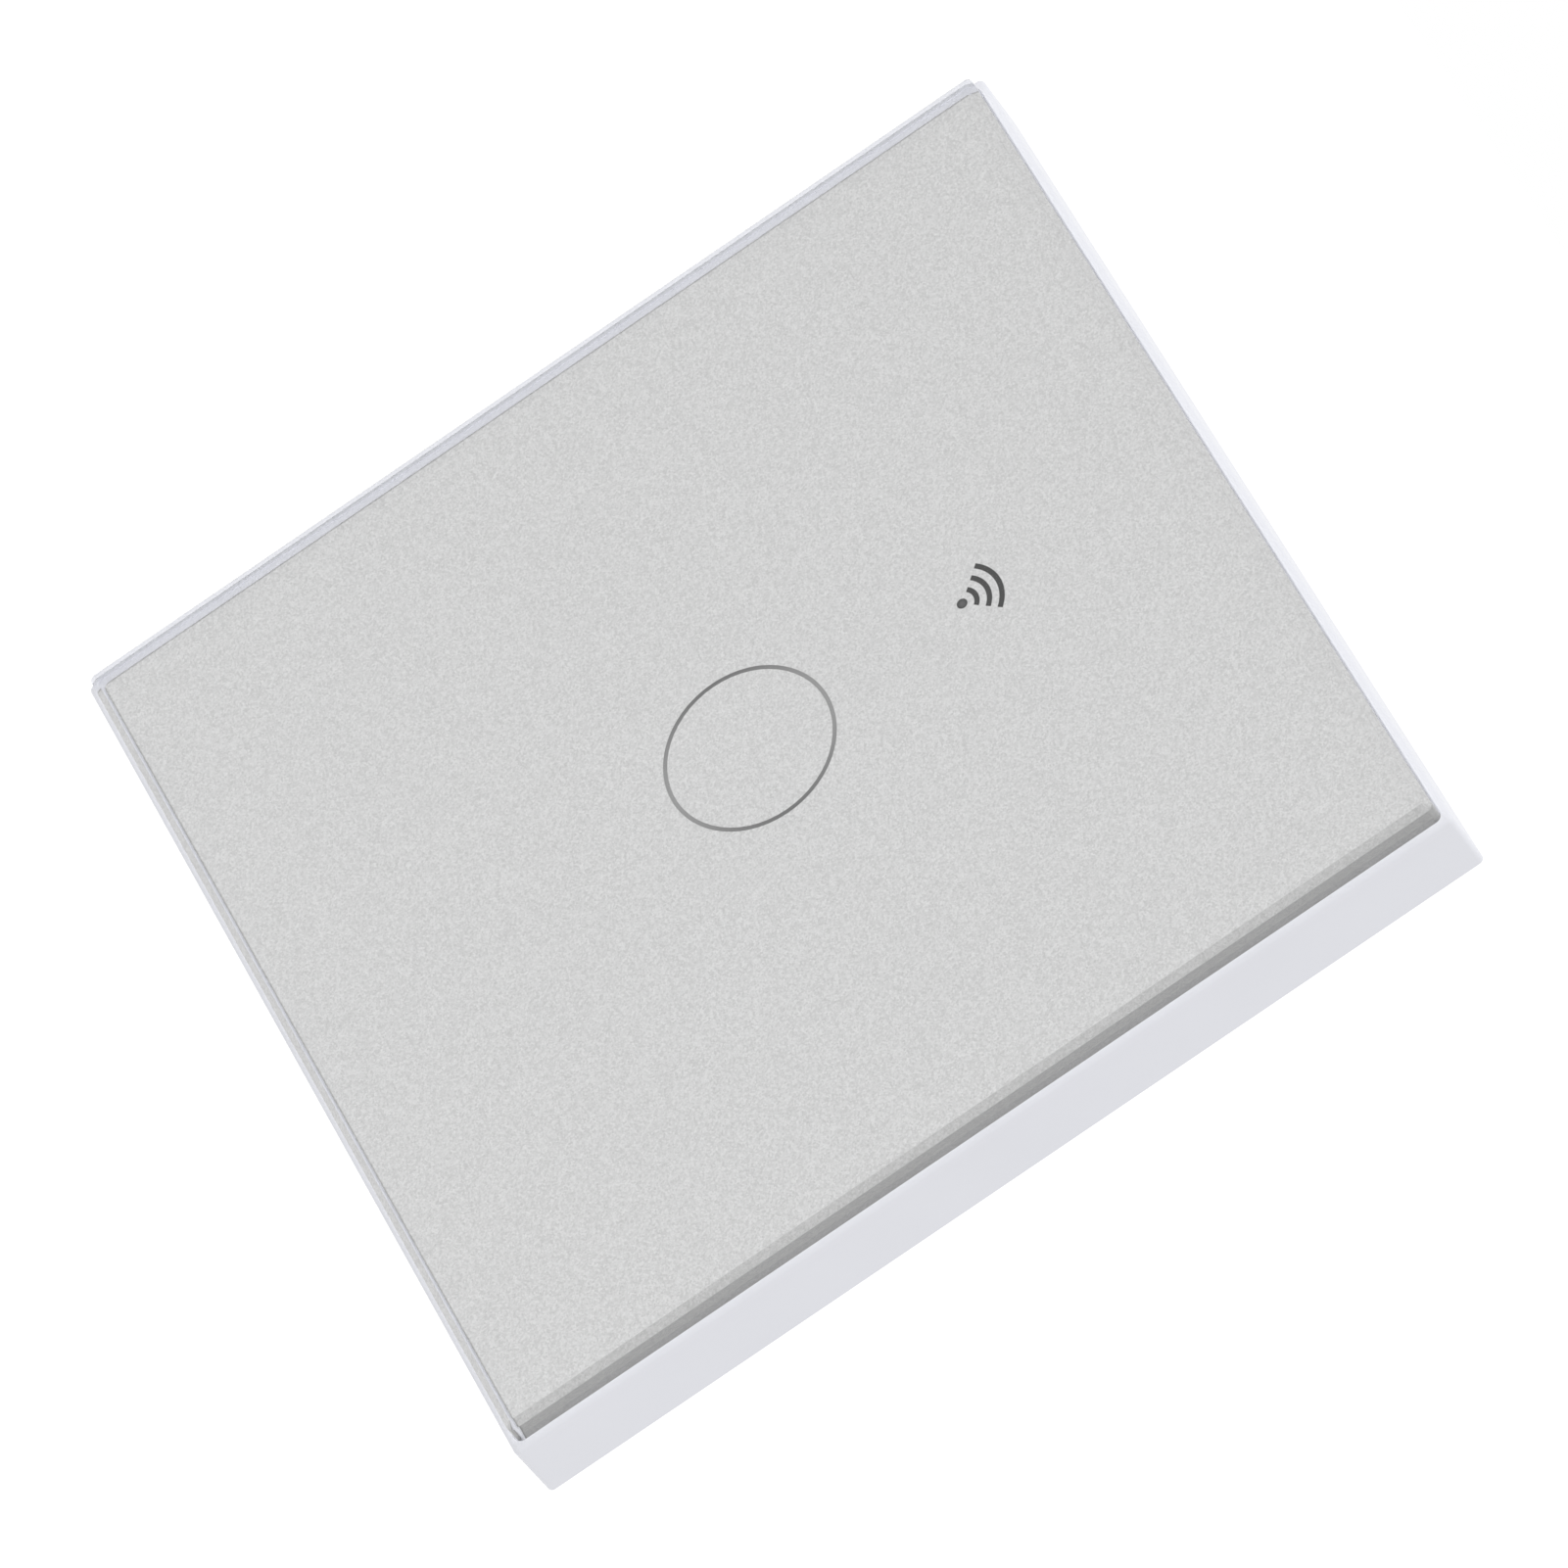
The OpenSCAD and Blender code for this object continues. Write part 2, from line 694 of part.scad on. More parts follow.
module power_chips() {
    color("black") on_wall() {
        chip([5, 12.5], supply_chip, 4, board_front);
        chip([-10, 3.6], rectifier_chip, 2, board_front);
        chip([11.5, -3], driver_chip, 3, board_front);
    }
}

module terminal_block() {
    color("seagreen") on_wall() difference() {
        block(-block_w / 2, block_w / 2, block_front_y, block_back_y, board_rear, block_back_z);
        for (i = [-1:1]) translate([i * terminal_pitch, 0, 0]) {
            block(-cage_w / 2 - fit, cage_w / 2 + fit, cage_y0 - fit, cage_y1 + fit,
                board_rear + over, cage_back - clamp_travel - 2 * fit);
            block(-bar_w / 2 - fit, bar_w / 2 + fit, block_front_y + 0.5, leg_y0 + leg_t + fit,
                bar_z + fit, bar_back - fit);
            block(-bar_w / 2 - fit, bar_w / 2 + fit, leg_y0 - fit, leg_y0 + leg_t + fit,
                board_rear + over, bar_back - fit);
            translate([0, terminal_y, 0]) {
                rod(terminal_screw_r + 2 * fit, cage_back - clamp_travel, block_back_z - over);
                rod(terminal_head_r + 2 * fit, head_seat_z, block_back_z - over);
            }
        }
        wire_port_cut(block_front_y - over, cage_y0, wire_w);
        for (i = [-1, 1]) translate([i * terminal_pitch / 2, 0, 0])
            block(-0.5, 0.5, block_front_y - over, block_back_y + over, head_seat_z - 0.4,
                block_back_z - over);
    }
}

module current_bars() {
    color("goldenrod") on_wall() for (i = [-1:1]) translate([i * terminal_pitch, 0, 0]) {
        block(-bar_w / 2, bar_w / 2, block_front_y + 0.5 + fit, leg_y0 + leg_t, bar_z, bar_back);
        block(-bar_w / 2, bar_w / 2, leg_y0, leg_y0 + leg_t, board_rear, bar_back);
        block(-0.9, 0.9, leg_y0, leg_y0 + leg_t, board_front + lead_out, board_rear);
    }
}

module terminal_screw(i) {
    color("silver") on_wall() translate([i * terminal_pitch, terminal_y, 0]) difference() {
        union() {
            rod(terminal_screw_r, screw_tip_z - 0.4, head_z);
            translate([0, 0, screw_tip_z - 0.4])
                cylinder(r1 = terminal_screw_r, r2 = terminal_screw_r - 0.4, h = 0.4, $fn = small);
            rod(terminal_head_r, head_back + 0.3, head_z);
            translate([0, 0, head_back])
                cylinder(r1 = terminal_head_r - 0.3, r2 = terminal_head_r, h = 0.3, $fn = small);
        }
        for (turn = [0, 90]) rotate([0, 0, turn])
            block(-terminal_head_r * 0.68, terminal_head_r * 0.68, -0.4, 0.4,
                head_back - over, head_back + terminal_head_h * 0.6);
    }
}

module wire_clamp(i) {
    groove = 0.25;
    color("lightsteelblue") on_wall() translate([i * terminal_pitch, 0, 0]) difference() {
        block(-cage_w / 2, cage_w / 2, cage_y0, cage_y1, cage_floor_z, cage_back);
        block(-cage_in_w / 2, cage_in_w / 2, cage_y0 - over, cage_y1 + over, wire_z0, roof_z);
        translate([0, terminal_y, 0]) rod(terminal_screw_r + run_fit, wire_z0, cage_back - over);
        for (j = [-1:1]) translate([0, terminal_y + j * clamp_len / 4, wire_z0])
            block(-cage_in_w / 2, cage_in_w / 2, -groove, groove, -over, groove);
    }
}

module terminal_screw_line() { terminal_screw(-1); }
module terminal_screw_neutral() { terminal_screw(0); }
module terminal_screw_load() { terminal_screw(1); }
module wire_clamp_line() { wire_clamp(-1); }
module wire_clamp_neutral() { wire_clamp(0); }
module wire_clamp_load() { wire_clamp(1); }

// Relay, each piece in the relay's own frame: x along it, z away from the board

module relay_pins_at() {
    for (s = [-1, 1]) translate([relay_coil_pin_x, s * relay_coil_pin_y, 0]) children();
    translate([yoke_x + yoke_t / 2, 0, 0]) children();
    translate([fixed_pin_x, 0, 0]) children();
}

module relay_base() {
    color("slategray") on_wall() on_board(relay_x, relay_y) {
        difference() {
            block(-relay_base_l / 2, relay_base_l / 2, -relay_base_w / 2, relay_base_w / 2,
                relay_foot, relay_floor);
            translate([yoke_x + yoke_t / 2, 0, 0]) rod(relay_pin_r + fit, 0, relay_floor + over);
            translate([fixed_pin_x, 0, 0]) rod(relay_pin_r + fit, 0, relay_floor + over);
        }
        each_corner(relay_base_l / 2 - 1.2, relay_base_w / 2 - 1.2) rod(0.8, 0, relay_foot);
        for (s = [-1, 1]) translate([relay_coil_pin_x, -s * relay_coil_pin_y, 0])
            rod(relay_pin_r, -board_t - lead_out, relay_floor + 1);
    }
}

module relay_cover() {
    color("royalblue") on_wall() on_board(relay_x, relay_y) difference() {
        translate([0, 0, relay_foot])
            edged_slab(relay_l, relay_w, relay_h - relay_foot, relay_corner_r)
                rounded_edge(relay_corner_r, relay_h - relay_foot, relay_edge_r);
        block(-relay_in_l / 2, relay_in_l / 2, -relay_in_w / 2, relay_in_w / 2,
            relay_foot - over, relay_h - relay_wall);
    }
}

module relay_yoke() {
    color("lightgray") on_wall() on_board(relay_x, relay_y) {
        block(yoke_x, core_x + yoke_reach, -yoke_w / 2, yoke_w / 2, relay_floor, relay_floor + yoke_t);
        block(yoke_x, yoke_x + yoke_t, -yoke_w / 2, yoke_w / 2, relay_floor, hinge_z - fit);
        translate([core_x, 0, 0]) {
            rod(core_r, relay_floor, pole_top);
            rod(pole_r, pole_top - pole_t, pole_top);
        }
        translate([yoke_x + yoke_t / 2, 0, 0])
            rod(relay_pin_r, -board_t - lead_out, relay_floor + 0.5);
    }
}

module relay_bobbin() {
    color("ivory") on_wall() on_board(relay_x, relay_y) translate([core_x, 0, 0]) difference() {
        union() {
            for (z = [bobbin_z0, bobbin_z1 - coil_flange_t])
                block(-bobbin_w / 2, bobbin_w / 2, -bobbin_w / 2, bobbin_w / 2, z, z + coil_flange_t);
            rod(core_r + fit + coil_tube_t, bobbin_z0, bobbin_z1);
        }
        rod(core_r + run_fit, bobbin_z0 - over, bobbin_z1 + over);
    }
}

module relay_coil() {
    color("chocolate") on_wall() on_board(relay_x, relay_y) translate([core_x, 0, 0]) difference() {
        rod(coil_r, bobbin_z0 + coil_flange_t + fit / 2, bobbin_z1 - coil_flange_t - fit / 2, big);
        rod(core_r + 2 * fit + coil_tube_t, bobbin_z0, bobbin_z1);
    }
}

module relay_contact() {
    plate_x = fixed_pin_x - fixed_plate_t / 2;
    half_w = fixed_plate_w / 2;
    color("goldenrod") on_wall() on_board(relay_x, relay_y) {
        block(plate_x, plate_x + fixed_plate_t, -half_w, half_w, relay_floor, shelf_z);
        block(contact_x - contact_r - 0.4, plate_x + fixed_plate_t, -half_w, half_w,
            shelf_z - fixed_plate_t, shelf_z);
        translate([contact_x, 0, 0]) rod(contact_r, shelf_z - fixed_plate_t, fixed_contact_top);
        translate([fixed_pin_x, 0, 0])
            rod(relay_pin_r, -board_t - lead_out, relay_floor + 0.5);
    }
}

module relay_armature() {
    color("lightgray") on_wall() on_board(relay_x, relay_y) difference() {
        block(yoke_x - 0.5, core_x + pole_r + 0.6, -armature_w / 2, armature_w / 2, hinge_z,
            hinge_z + armature_t);
        block(core_x + pole_r - 1, core_x + pole_r + over, -1.4, 1.4, hinge_z - over,
            hinge_z + armature_t + over);
    }
}

module relay_contact_spring() {
    blade_z = hinge_z + armature_t;
    color("darkgoldenrod") on_wall() on_board(relay_x, relay_y) {
        block(yoke_x + 1.4, contact_x + contact_r + 0.1, -blade_w / 2, blade_w / 2, blade_z,
            blade_z + blade_t);
        translate([contact_x, 0, 0]) rod(contact_r, hinge_z + 0.3, blade_z + 2 * blade_t);
        for (s = [-1, 1]) translate([core_x - 2, s * rivet_y, 0])
            rod(rivet_r, blade_z, blade_z + 2 * blade_t);
    }
}

// Mains to low voltage converter

module transformer_pins_at() {
    for (i = [-1:1], s = [-1, 1])
        translate([i * transformer_pin_pitch, s * transformer_pin_y, 0]) children();
}

module transformer_core() {
    color("dimgray") on_wall() on_board(transformer_x, transformer_y) difference() {
        block(-core_half_l, core_half_l, -core_half_w, core_half_w, core_z0, core_z1);
        for (s = [-1, 1])
            block(s * core_leg, s * core_window_x, -core_half_w - over, core_half_w + over,
                core_z0 + core_yoke, core_z1 - core_yoke);
    }
}

module transformer_bobbin() {
    z0 = core_z0 + core_yoke + fit;
    z1 = core_z1 - core_yoke - fit;
    outer_x = core_window_x - fit;
    color("black") on_wall() on_board(transformer_x, transformer_y) {
        difference() {
            union() {
                block(-core_leg - fit - bobbin_tube, core_leg + fit + bobbin_tube,
                    -core_half_w - fit - bobbin_tube, core_half_w + fit + bobbin_tube, z0, z1);
                for (z = [z0, z1 - bobbin_flange_t])
                    block(-outer_x, outer_x, -bobbin_flange_y, bobbin_flange_y, z,
                        z + bobbin_flange_t);
                for (s = [-1, 1])
                    block(-outer_x, outer_x, s * (core_half_w + fit), s * bobbin_flange_y, 0,
                        z0 + bobbin_flange_t);
            }
            block(-core_leg - fit, core_leg + fit, -core_half_w - fit, core_half_w + fit,
                -over, core_z1 + over);
        }
        transformer_pins_at() rod(transformer_pin_r, -board_t - lead_out, 1);
    }
}

module transformer_winding() {
    z0 = core_z0 + core_yoke + fit + bobbin_flange_t + fit / 2;
    z1 = core_z1 - core_yoke - fit - bobbin_flange_t - fit / 2;
    color("gold") on_wall() on_board(transformer_x, transformer_y) difference() {
        prism(z0, z1) round_rect(2 * core_window_x - 4 * fit, winding_d, winding_corner_r);
        block(-core_leg - 2 * fit - bobbin_tube, core_leg + 2 * fit + bobbin_tube,
            -core_half_w - 2 * fit - bobbin_tube, core_half_w + 2 * fit + bobbin_tube, z0 - over, z1 + over);
    }
}

module lead_pair(x) {
    for (s = [-1, 1]) translate([s * x, 0, 0]) children();
}

// A can with a rolled groove near its foot and a rounded top
module can_capacitor(r, h, lead_x) {
    rotate_extrude($fn = big) difference() {
        union() {
            square([r, h - can_edge_r]);
            square([r - can_edge_r, h]);
            translate([r - can_edge_r, h - can_edge_r]) circle(can_edge_r, $fn = small);
        }
        translate([r + can_groove_r - can_groove_depth, can_groove_z])
            circle(can_groove_r, $fn = small);
    }
    lead_pair(lead_x) rod(lead_r, -board_t - lead_out, over);
}

module mains_capacitor() {
    color("darkslategray") on_wall() on_board(mains_cap_x, mains_cap_y)
        can_capacitor(mains_cap_r, mains_cap_h, mains_lead_x);
}

module output_capacitor() {
    color("darkslateblue") on_wall() on_board(output_cap_x, output_cap_y)
        can_capacitor(output_cap_r, output_cap_h, output_lead_x);
}

module film_capacitor() {
    color("khaki") on_wall() on_board(film_cap_x, film_cap_y) {
        edged_slab(film_cap_w, film_cap_d, film_cap_h, film_corner_r)
            rounded_edge(film_corner_r, film_cap_h, film_edge_r);
        lead_pair(film_lead_x) rod(stout_lead_r, -board_t - lead_out, over);
    }
}

module filter_choke() {
    flange_h = 1;
    color("black") on_wall() on_board(choke_x, choke_y) {
        rod(choke_r, 0, flange_h);
        rod(choke_r - 0.6, flange_h, choke_h - flange_h);
        rod(choke_r, choke_h - flange_h, choke_h);
        lead_pair(choke_lead_x) rod(lead_r, -board_t - lead_out, over);
    }
}

module varistor() {
    rim_x = varistor_r - varistor_t / 2;
    color("royalblue") on_wall() on_board(varistor_x, varistor_y) {
        translate([0, 0, varistor_r + 1]) rotate([90, 0, 0])
            rotate_extrude($fn = big) intersection() {
                union() {
                    translate([0, -varistor_t / 2]) square([rim_x, varistor_t]);
                    translate([rim_x, 0]) circle(varistor_t / 2, $fn = small);
                }
                translate([0, -varistor_t / 2]) square([varistor_r, varistor_t]);
            }
        lead_pair(varistor_lead_x) rod(stout_lead_r, -board_t - lead_out, varistor_r / 2);
    }
}

module fuse_resistor() {
    cap_len = 1.8;
    axis_z = fuse_r + 0.3;
    color("olivedrab") on_wall() on_board(fuse_x, fuse_y) {
        translate([0, 0, axis_z]) rotate([0, 90, 0]) {
            rod(fuse_r - 0.2, -fuse_len / 2, fuse_len / 2);
            for (s = [-1, 1]) rod(fuse_r, s * fuse_len / 2, s * (fuse_len / 2 - cap_len));
            rod(lead_r, -fuse_lead_x - lead_r, fuse_lead_x + lead_r);
        }
        lead_pair(fuse_lead_x) rod(lead_r, -board_t - lead_out, axis_z);
    }
}

// Front panel

module glass_panel() {
    color("lightgray", 0.4) on_wall() translate([0, 0, glass_back])
        edged_slab(glass_w, glass_w, glass_t, glass_corner_r)
            bevelled_edge(glass_corner_r, glass_t, glass_bevel, glass_back_bevel);
}

module ring_shape(grow = 0) {
    difference() {
        circle(ring_r + ring_line / 2 + grow, $fn = big);
        circle(ring_r - ring_line / 2 - grow, $fn = big);
    }
}

module icon_shape(grow = 0) {
    fan = 12;
    translate([0, icon_y]) {
        circle(icon_dot_r + grow, $fn = small);
        intersection() {
            union() for (i = [0:2]) difference() {
                circle(icon_arc_r + i * icon_arc_step + icon_line / 2 + grow, $fn = big);
                circle(icon_arc_r + i * icon_arc_step - icon_line / 2 - grow, $fn = big);
            }
            polygon([[0, -grow], [fan, fan - grow], [-fan, fan - grow]]);
        }
    }
}

module back_print() {
    color("silver") on_wall() prism(ledge_z, glass_back) difference() {
        round_rect(print_w, print_w, print_corner_r);
        ring_shape();
        icon_shape();
    }
}

module marking_print() {
    color("dimgray") on_wall() prism(ledge_z, glass_back) {
        ring_shape();
        icon_shape();
    }
}

module adhesive_tape() {
    color("white") on_wall() prism(carrier_front, ledge_z) difference() {
        square(carrier_w - 2, center = true);
        circle(guide_disc_r + 0.8, $fn = big);
        translate([0, (icon_guide_y0 + icon_guide_y1) / 2])
            square([icon_guide_w + 1.2, icon_guide_y1 - icon_guide_y0 + 1.2], center = true);
    }
}

module carrier_ribs() {
    rib_w = 1.2;
    zone = head_pocket_w + slot_len - slot_w + 4;
    difference() {
        union() {
            difference() {
                square(carrier_w, center = true);
                square(carrier_w - 2 * rib_w, center = true);
            }
            for (turn = [0:90:270], s = [-1, 1]) rotate([0, 0, turn])
                translate([s * carrier_w / 5, carrier_w / 2 - 8]) square([rib_w, 16], center = true);
        }
        for (s = [-1, 1]) translate([s * wall_screw_pitch / 2, 0]) square(zone, center = true);
    }
}

module panel_carrier() {
    color("white") on_wall() difference() {
        union() {
            prism(carrier_back, carrier_front) round_rect(carrier_w, carrier_w, 1);
            prism(carrier_back - carrier_rib_h, carrier_back) carrier_ribs();
            each_corner(touch_screw_x, touch_screw_y) rod(touch_post_r, touch_board_z, carrier_back);
            each_corner(clip_peg_x, clip_y) {
                rod(clip_peg_r, carrier_back - clip_t - 0.4, carrier_back);
            }
        }
        rod(guide_disc_r - 1, carrier_back - over, carrier_front + over, big);
        rod(guide_disc_r + fit, guide_disc_z - fit / 2, carrier_front + over, big);
        block(-icon_guide_w / 2 - fit, icon_guide_w / 2 + fit, icon_guide_y0 - fit,
            icon_guide_y1 + fit, carrier_back - over, carrier_front + over);
        each_corner(touch_screw_x, touch_screw_y)
            rod(touch_screw_shank + run_fit, touch_board_z - over, carrier_back - 0.4);
    }
}

// One spring clip for the right edge: a tab on the carrier, a leg and a bowed hook
module spring_clip() {
    tab_x = clip_x - clip_tab_len;
    bow = clip_bite + (window_w / 2 - clip_x) - clip_t;
    hook_z = flange_z - 1.1;
    difference() {
        block(tab_x, clip_x, -clip_w / 2, clip_w / 2, carrier_back - clip_t, carrier_back);
        translate([clip_peg_x, 0, 0])
            rod(clip_peg_r + run_fit, carrier_back - clip_t - over, carrier_back + over);
    }
    translate([0, clip_w / 2, 0]) rotate([90, 0, 0]) linear_extrude(clip_w)
        polygon([[clip_x - clip_t, carrier_back], [clip_x, carrier_back],
            [clip_x, flange_z + 0.2], [clip_x + bow + clip_t, hook_z],
            [clip_x + 0.2, hook_z - 1.3], [clip_x - 0.3, hook_z - 1.3],
            [clip_x + bow, hook_z], [clip_x - clip_t, flange_z + 0.2]]);
}

module panel_clips() {
    color("silver") on_wall() for (s = [0, 1], t = [-1, 1])
        mirror([s, 0, 0]) translate([0, t * clip_y, 0]) spring_clip();
}

module ring_light_guide() {
    color("azure", 0.7) on_wall() difference() {
        union() {
            rod(guide_disc_r, guide_disc_z, carrier_front, big);
            rod(ring_r + guide_ring_w / 2, guide_bottom, guide_top, big);
        }
        rod(ring_r - guide_ring_w / 2, guide_bottom - over, guide_top + over, big);
    }
}

module icon_light_guide() {
    color("azure", 0.7) on_wall() {
        block(-icon_guide_w / 2, icon_guide_w / 2, icon_guide_y0, icon_guide_y1,
            icon_guide_back, guide_top);
        block(-icon_guide_w / 2, icon_guide_w / 2, icon_guide_y0, icon_guide_y0 + 2.8,
            guide_bottom, icon_guide_back);
    }
}

// Touch board and the parts on it

module touch_board() {
    color("darkgreen") on_wall() difference() {
        prism(touch_back, touch_board_z) square(touch_board_w, center = true);
        each_corner(case_screw_x, case_screw_x)
            rod(board_corner_cut_r, touch_back - over, touch_board_z + over);
        each_corner(touch_screw_x, touch_screw_y)
            rod(touch_screw_shank + fit, touch_back - over, touch_board_z + over);
        header_grid()
            rod(header_pin_w * 0.75, touch_back - over, touch_board_z + over);
    }
}

// A round wire swept along a helix, closed at both ends
function helix_at(r, pitch, angle, z0) =
    [r * cos(angle), r * sin(angle), z0 + pitch * angle / 360];
function helix_ring(r, pitch, angle, z0, wire, sides) =
    [for (k = [0:sides - 1]) let (a = 360 * k / sides)
        helix_at(r + wire * cos(a), pitch, angle, z0) + [0, 0, wire * sin(a)]];

module helix(r, wire, height, turns) {
    sides = 8;
    steps = turns * 16;
    rings = [for (i = [0:steps])
        each helix_ring(r, height / turns, 360 * turns * i / steps, wire, wire, sides)];
    sides_faces = [for (i = [0:steps - 1], k = [0:sides - 1]) let (n = (k + 1) % sides)
        [i * sides + k, i * sides + n, (i + 1) * sides + n, (i + 1) * sides + k]];
    caps = [[for (k = [sides - 1:-1:0]) k], [for (k = [0:sides - 1]) steps * sides + k]];
    polyhedron(points = rings, faces = concat(sides_faces, caps), convexity = 6);
}

module touch_spring() {
    color("gold") on_wall() translate([0, 0, touch_board_z])
        helix(touch_spring_r, touch_wire_r, guide_top - touch_board_z - 2 * touch_wire_r,
            touch_spring_turns);
}

module led() {
    translate([0, 0, touch_board_z + led_h / 2]) cube([led_w, led_d, led_h], center = true);
}

module touch_leds() {
    color("lemonchiffon") on_wall() {
        for (turn = [45:90:315]) rotate([0, 0, turn]) translate([ring_r, 0, 0])
            rotate([0, 0, 90]) led();
        translate([0, icon_led_y, 0]) led();
    }
}

module touch_chips() {
    color("black") on_wall() mirror([0, 0, 1]) {
        chip([-13, -6], touch_chip, 4, -touch_back);
        chip([13, -6], driver_chip, 3, -touch_back);
        chip([13.4, 4], memory_chip, 3, -touch_back);
    }
}

module touch_board_screws() {
    color("silver") on_wall() each_corner(touch_screw_x, touch_screw_y) difference() {
        union() {
            rod(touch_screw_shank, touch_back, touch_back + touch_screw_len);
            rod(touch_screw_head_r, touch_back - touch_screw_head_h, touch_back);
        }
        for (turn = [0, 90]) rotate([0, 0, turn])
            block(-touch_drive_len / 2, touch_drive_len / 2, -touch_drive_w / 2, touch_drive_w / 2,
                touch_back - touch_screw_head_h - over, touch_back - touch_screw_head_h / 2);
    }
}

module wireless_module() {
    color("darkslateblue") on_wall() difference() {
        block(-module_w / 2, module_w / 2, module_y - module_d / 2, module_y + module_d / 2,
            touch_back - module_t, touch_back);
        for (s = [-1, 1], i = [0:module_pads_n - 1])
            translate([s * module_w / 2, module_pad_y + i * module_pad_pitch, 0])
                rod(module_pad_r, touch_back - module_t - over, touch_back + over, 16);
    }
}

module wireless_shield() {
    z0 = touch_back - module_t;
    in_x = shield_w / 2 - shield_wall;
    in_y = shield_d / 2 - shield_wall;
    color("gainsboro") on_wall() translate([0, shield_y, 0]) difference() {
        block(-shield_w / 2, shield_w / 2, -shield_d / 2, shield_d / 2, z0, z0 - shield_h);
        block(-in_x, in_x, -in_y, in_y, z0 + over, z0 - shield_h + shield_wall);
    }
}

module pin_header() {
    color("black") on_wall() {
        translate([0, -header_y, 0])
            block(-header_w / 2, header_w / 2, -header_d / 2, header_d / 2,
                touch_back - header_base_h, touch_back);
        header_grid() square_prism(header_pin_w, board_front + 0.5, touch_board_z + lead_out);
    }
}

base_frame();
rear_housing();
housing_screws();
power_board();
header_socket();
socket_contacts();
power_chips();
terminal_block();
current_bars();
terminal_screw_line();
terminal_screw_neutral();
terminal_screw_load();
wire_clamp_line();
wire_clamp_neutral();
wire_clamp_load();
relay_base();
relay_cover();
relay_yoke();
relay_bobbin();
relay_coil();
relay_contact();
relay_armature();
relay_contact_spring();
transformer_core();
transformer_bobbin();
transformer_winding();
mains_capacitor();
output_capacitor();
film_capacitor();
filter_choke();
varistor();
fuse_resistor();
glass_panel();
back_print();
marking_print();
adhesive_tape();
panel_carrier();
panel_clips();
ring_light_guide();
icon_light_guide();
touch_board();
touch_spring();
touch_leds();
touch_chips();
touch_board_screws();
wireless_module();
wireless_shield();
pin_header();
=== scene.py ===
"""A touch light switch for a square wall box, dressed for rendering.

A bevelled glass front with a printed touch ring stands on a white wall plate. Behind the plate are a
rear case with the relay, the power supply and the screw terminals. The front lifts off on spring clips.
"""

import logging
import math
from dataclasses import dataclass, field
from enum import Enum
from typing import Callable, Iterable, Optional, Sequence, Union

import bmesh
import bpy
from mathutils import Matrix, Vector


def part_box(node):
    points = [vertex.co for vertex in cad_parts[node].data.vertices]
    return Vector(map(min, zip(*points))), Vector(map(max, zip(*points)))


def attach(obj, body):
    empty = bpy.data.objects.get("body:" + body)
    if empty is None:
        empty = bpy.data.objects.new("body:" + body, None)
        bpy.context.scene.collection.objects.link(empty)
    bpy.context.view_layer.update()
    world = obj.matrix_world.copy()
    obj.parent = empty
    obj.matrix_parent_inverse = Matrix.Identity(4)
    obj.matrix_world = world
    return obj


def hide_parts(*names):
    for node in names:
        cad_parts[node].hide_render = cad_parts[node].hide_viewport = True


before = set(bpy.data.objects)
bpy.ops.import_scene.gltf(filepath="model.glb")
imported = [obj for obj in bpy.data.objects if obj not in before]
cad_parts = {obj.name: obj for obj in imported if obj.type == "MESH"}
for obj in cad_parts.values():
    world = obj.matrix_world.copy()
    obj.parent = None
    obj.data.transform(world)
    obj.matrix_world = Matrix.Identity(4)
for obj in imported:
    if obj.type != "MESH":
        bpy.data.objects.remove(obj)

LOG = logging.getLogger("touch_switch")
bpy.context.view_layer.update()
MM = 0.001

Colour = tuple[float, float, float, float]
Point = tuple[float, float, float]


class Body(Enum):
    """The moving bodies that a piece can ride on."""

    BASE = "base"
    FRONT = "front_panel"
    SCREW_LINE = "terminal_screw_line_body"
    SCREW_NEUTRAL = "terminal_screw_neutral_body"
    SCREW_LOAD = "terminal_screw_load_body"


class Way(Enum):
    """The directions of the shared frame."""

    OUT = Vector((0, -1, 0))
    BACK = Vector((0, 1, 0))
    RIGHT = Vector((1, 0, 0))
    LEFT = Vector((-1, 0, 0))
    UP = Vector((0, 0, 1))
    DOWN = Vector((0, 0, -1))


def shade(red: float, green: float, blue: float) -> Colour:
    """Turn display levels from 0 to 255 into a linear colour.

    Args:
        red: Level of red as a picture shows it.
        green: Level of green as a picture shows it.
        blue: Level of blue as a picture shows it.

    Returns:
        The linear colour that renders at those levels in plain light.
    """

    def linear(level: float) -> float:
        """Undo the display curve for one channel."""
        part = level / 255
        return part / 12.92 if part <= 0.04045 else ((part + 0.055) / 1.055) ** 2.4

    return (linear(red), linear(green), linear(blue), 1.0)


def at(right: float, up: float, out: float) -> Vector:
    """Turn a place on the drawing into the shared frame.

    Args:
        right: Distance to the right of the middle, in millimetres.
        up: Distance above the middle.
        out: Distance out of the wall.

    Returns:
        The place in metres.
    """
    return Vector((right, -out, up)) * MM


def node_box(name: str) -> tuple[Vector, Vector]:
    """Give the lowest and highest corner of a construction node.

    Args:
        name: The node's name.

    Returns:
        The two corners in metres.
    """
    low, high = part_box(name)
    return Vector(low), Vector(high)


def middle(name: str) -> Vector:
    """Give the middle of a construction node's box."""
    low, high = node_box(name)
    return (low + high) / 2


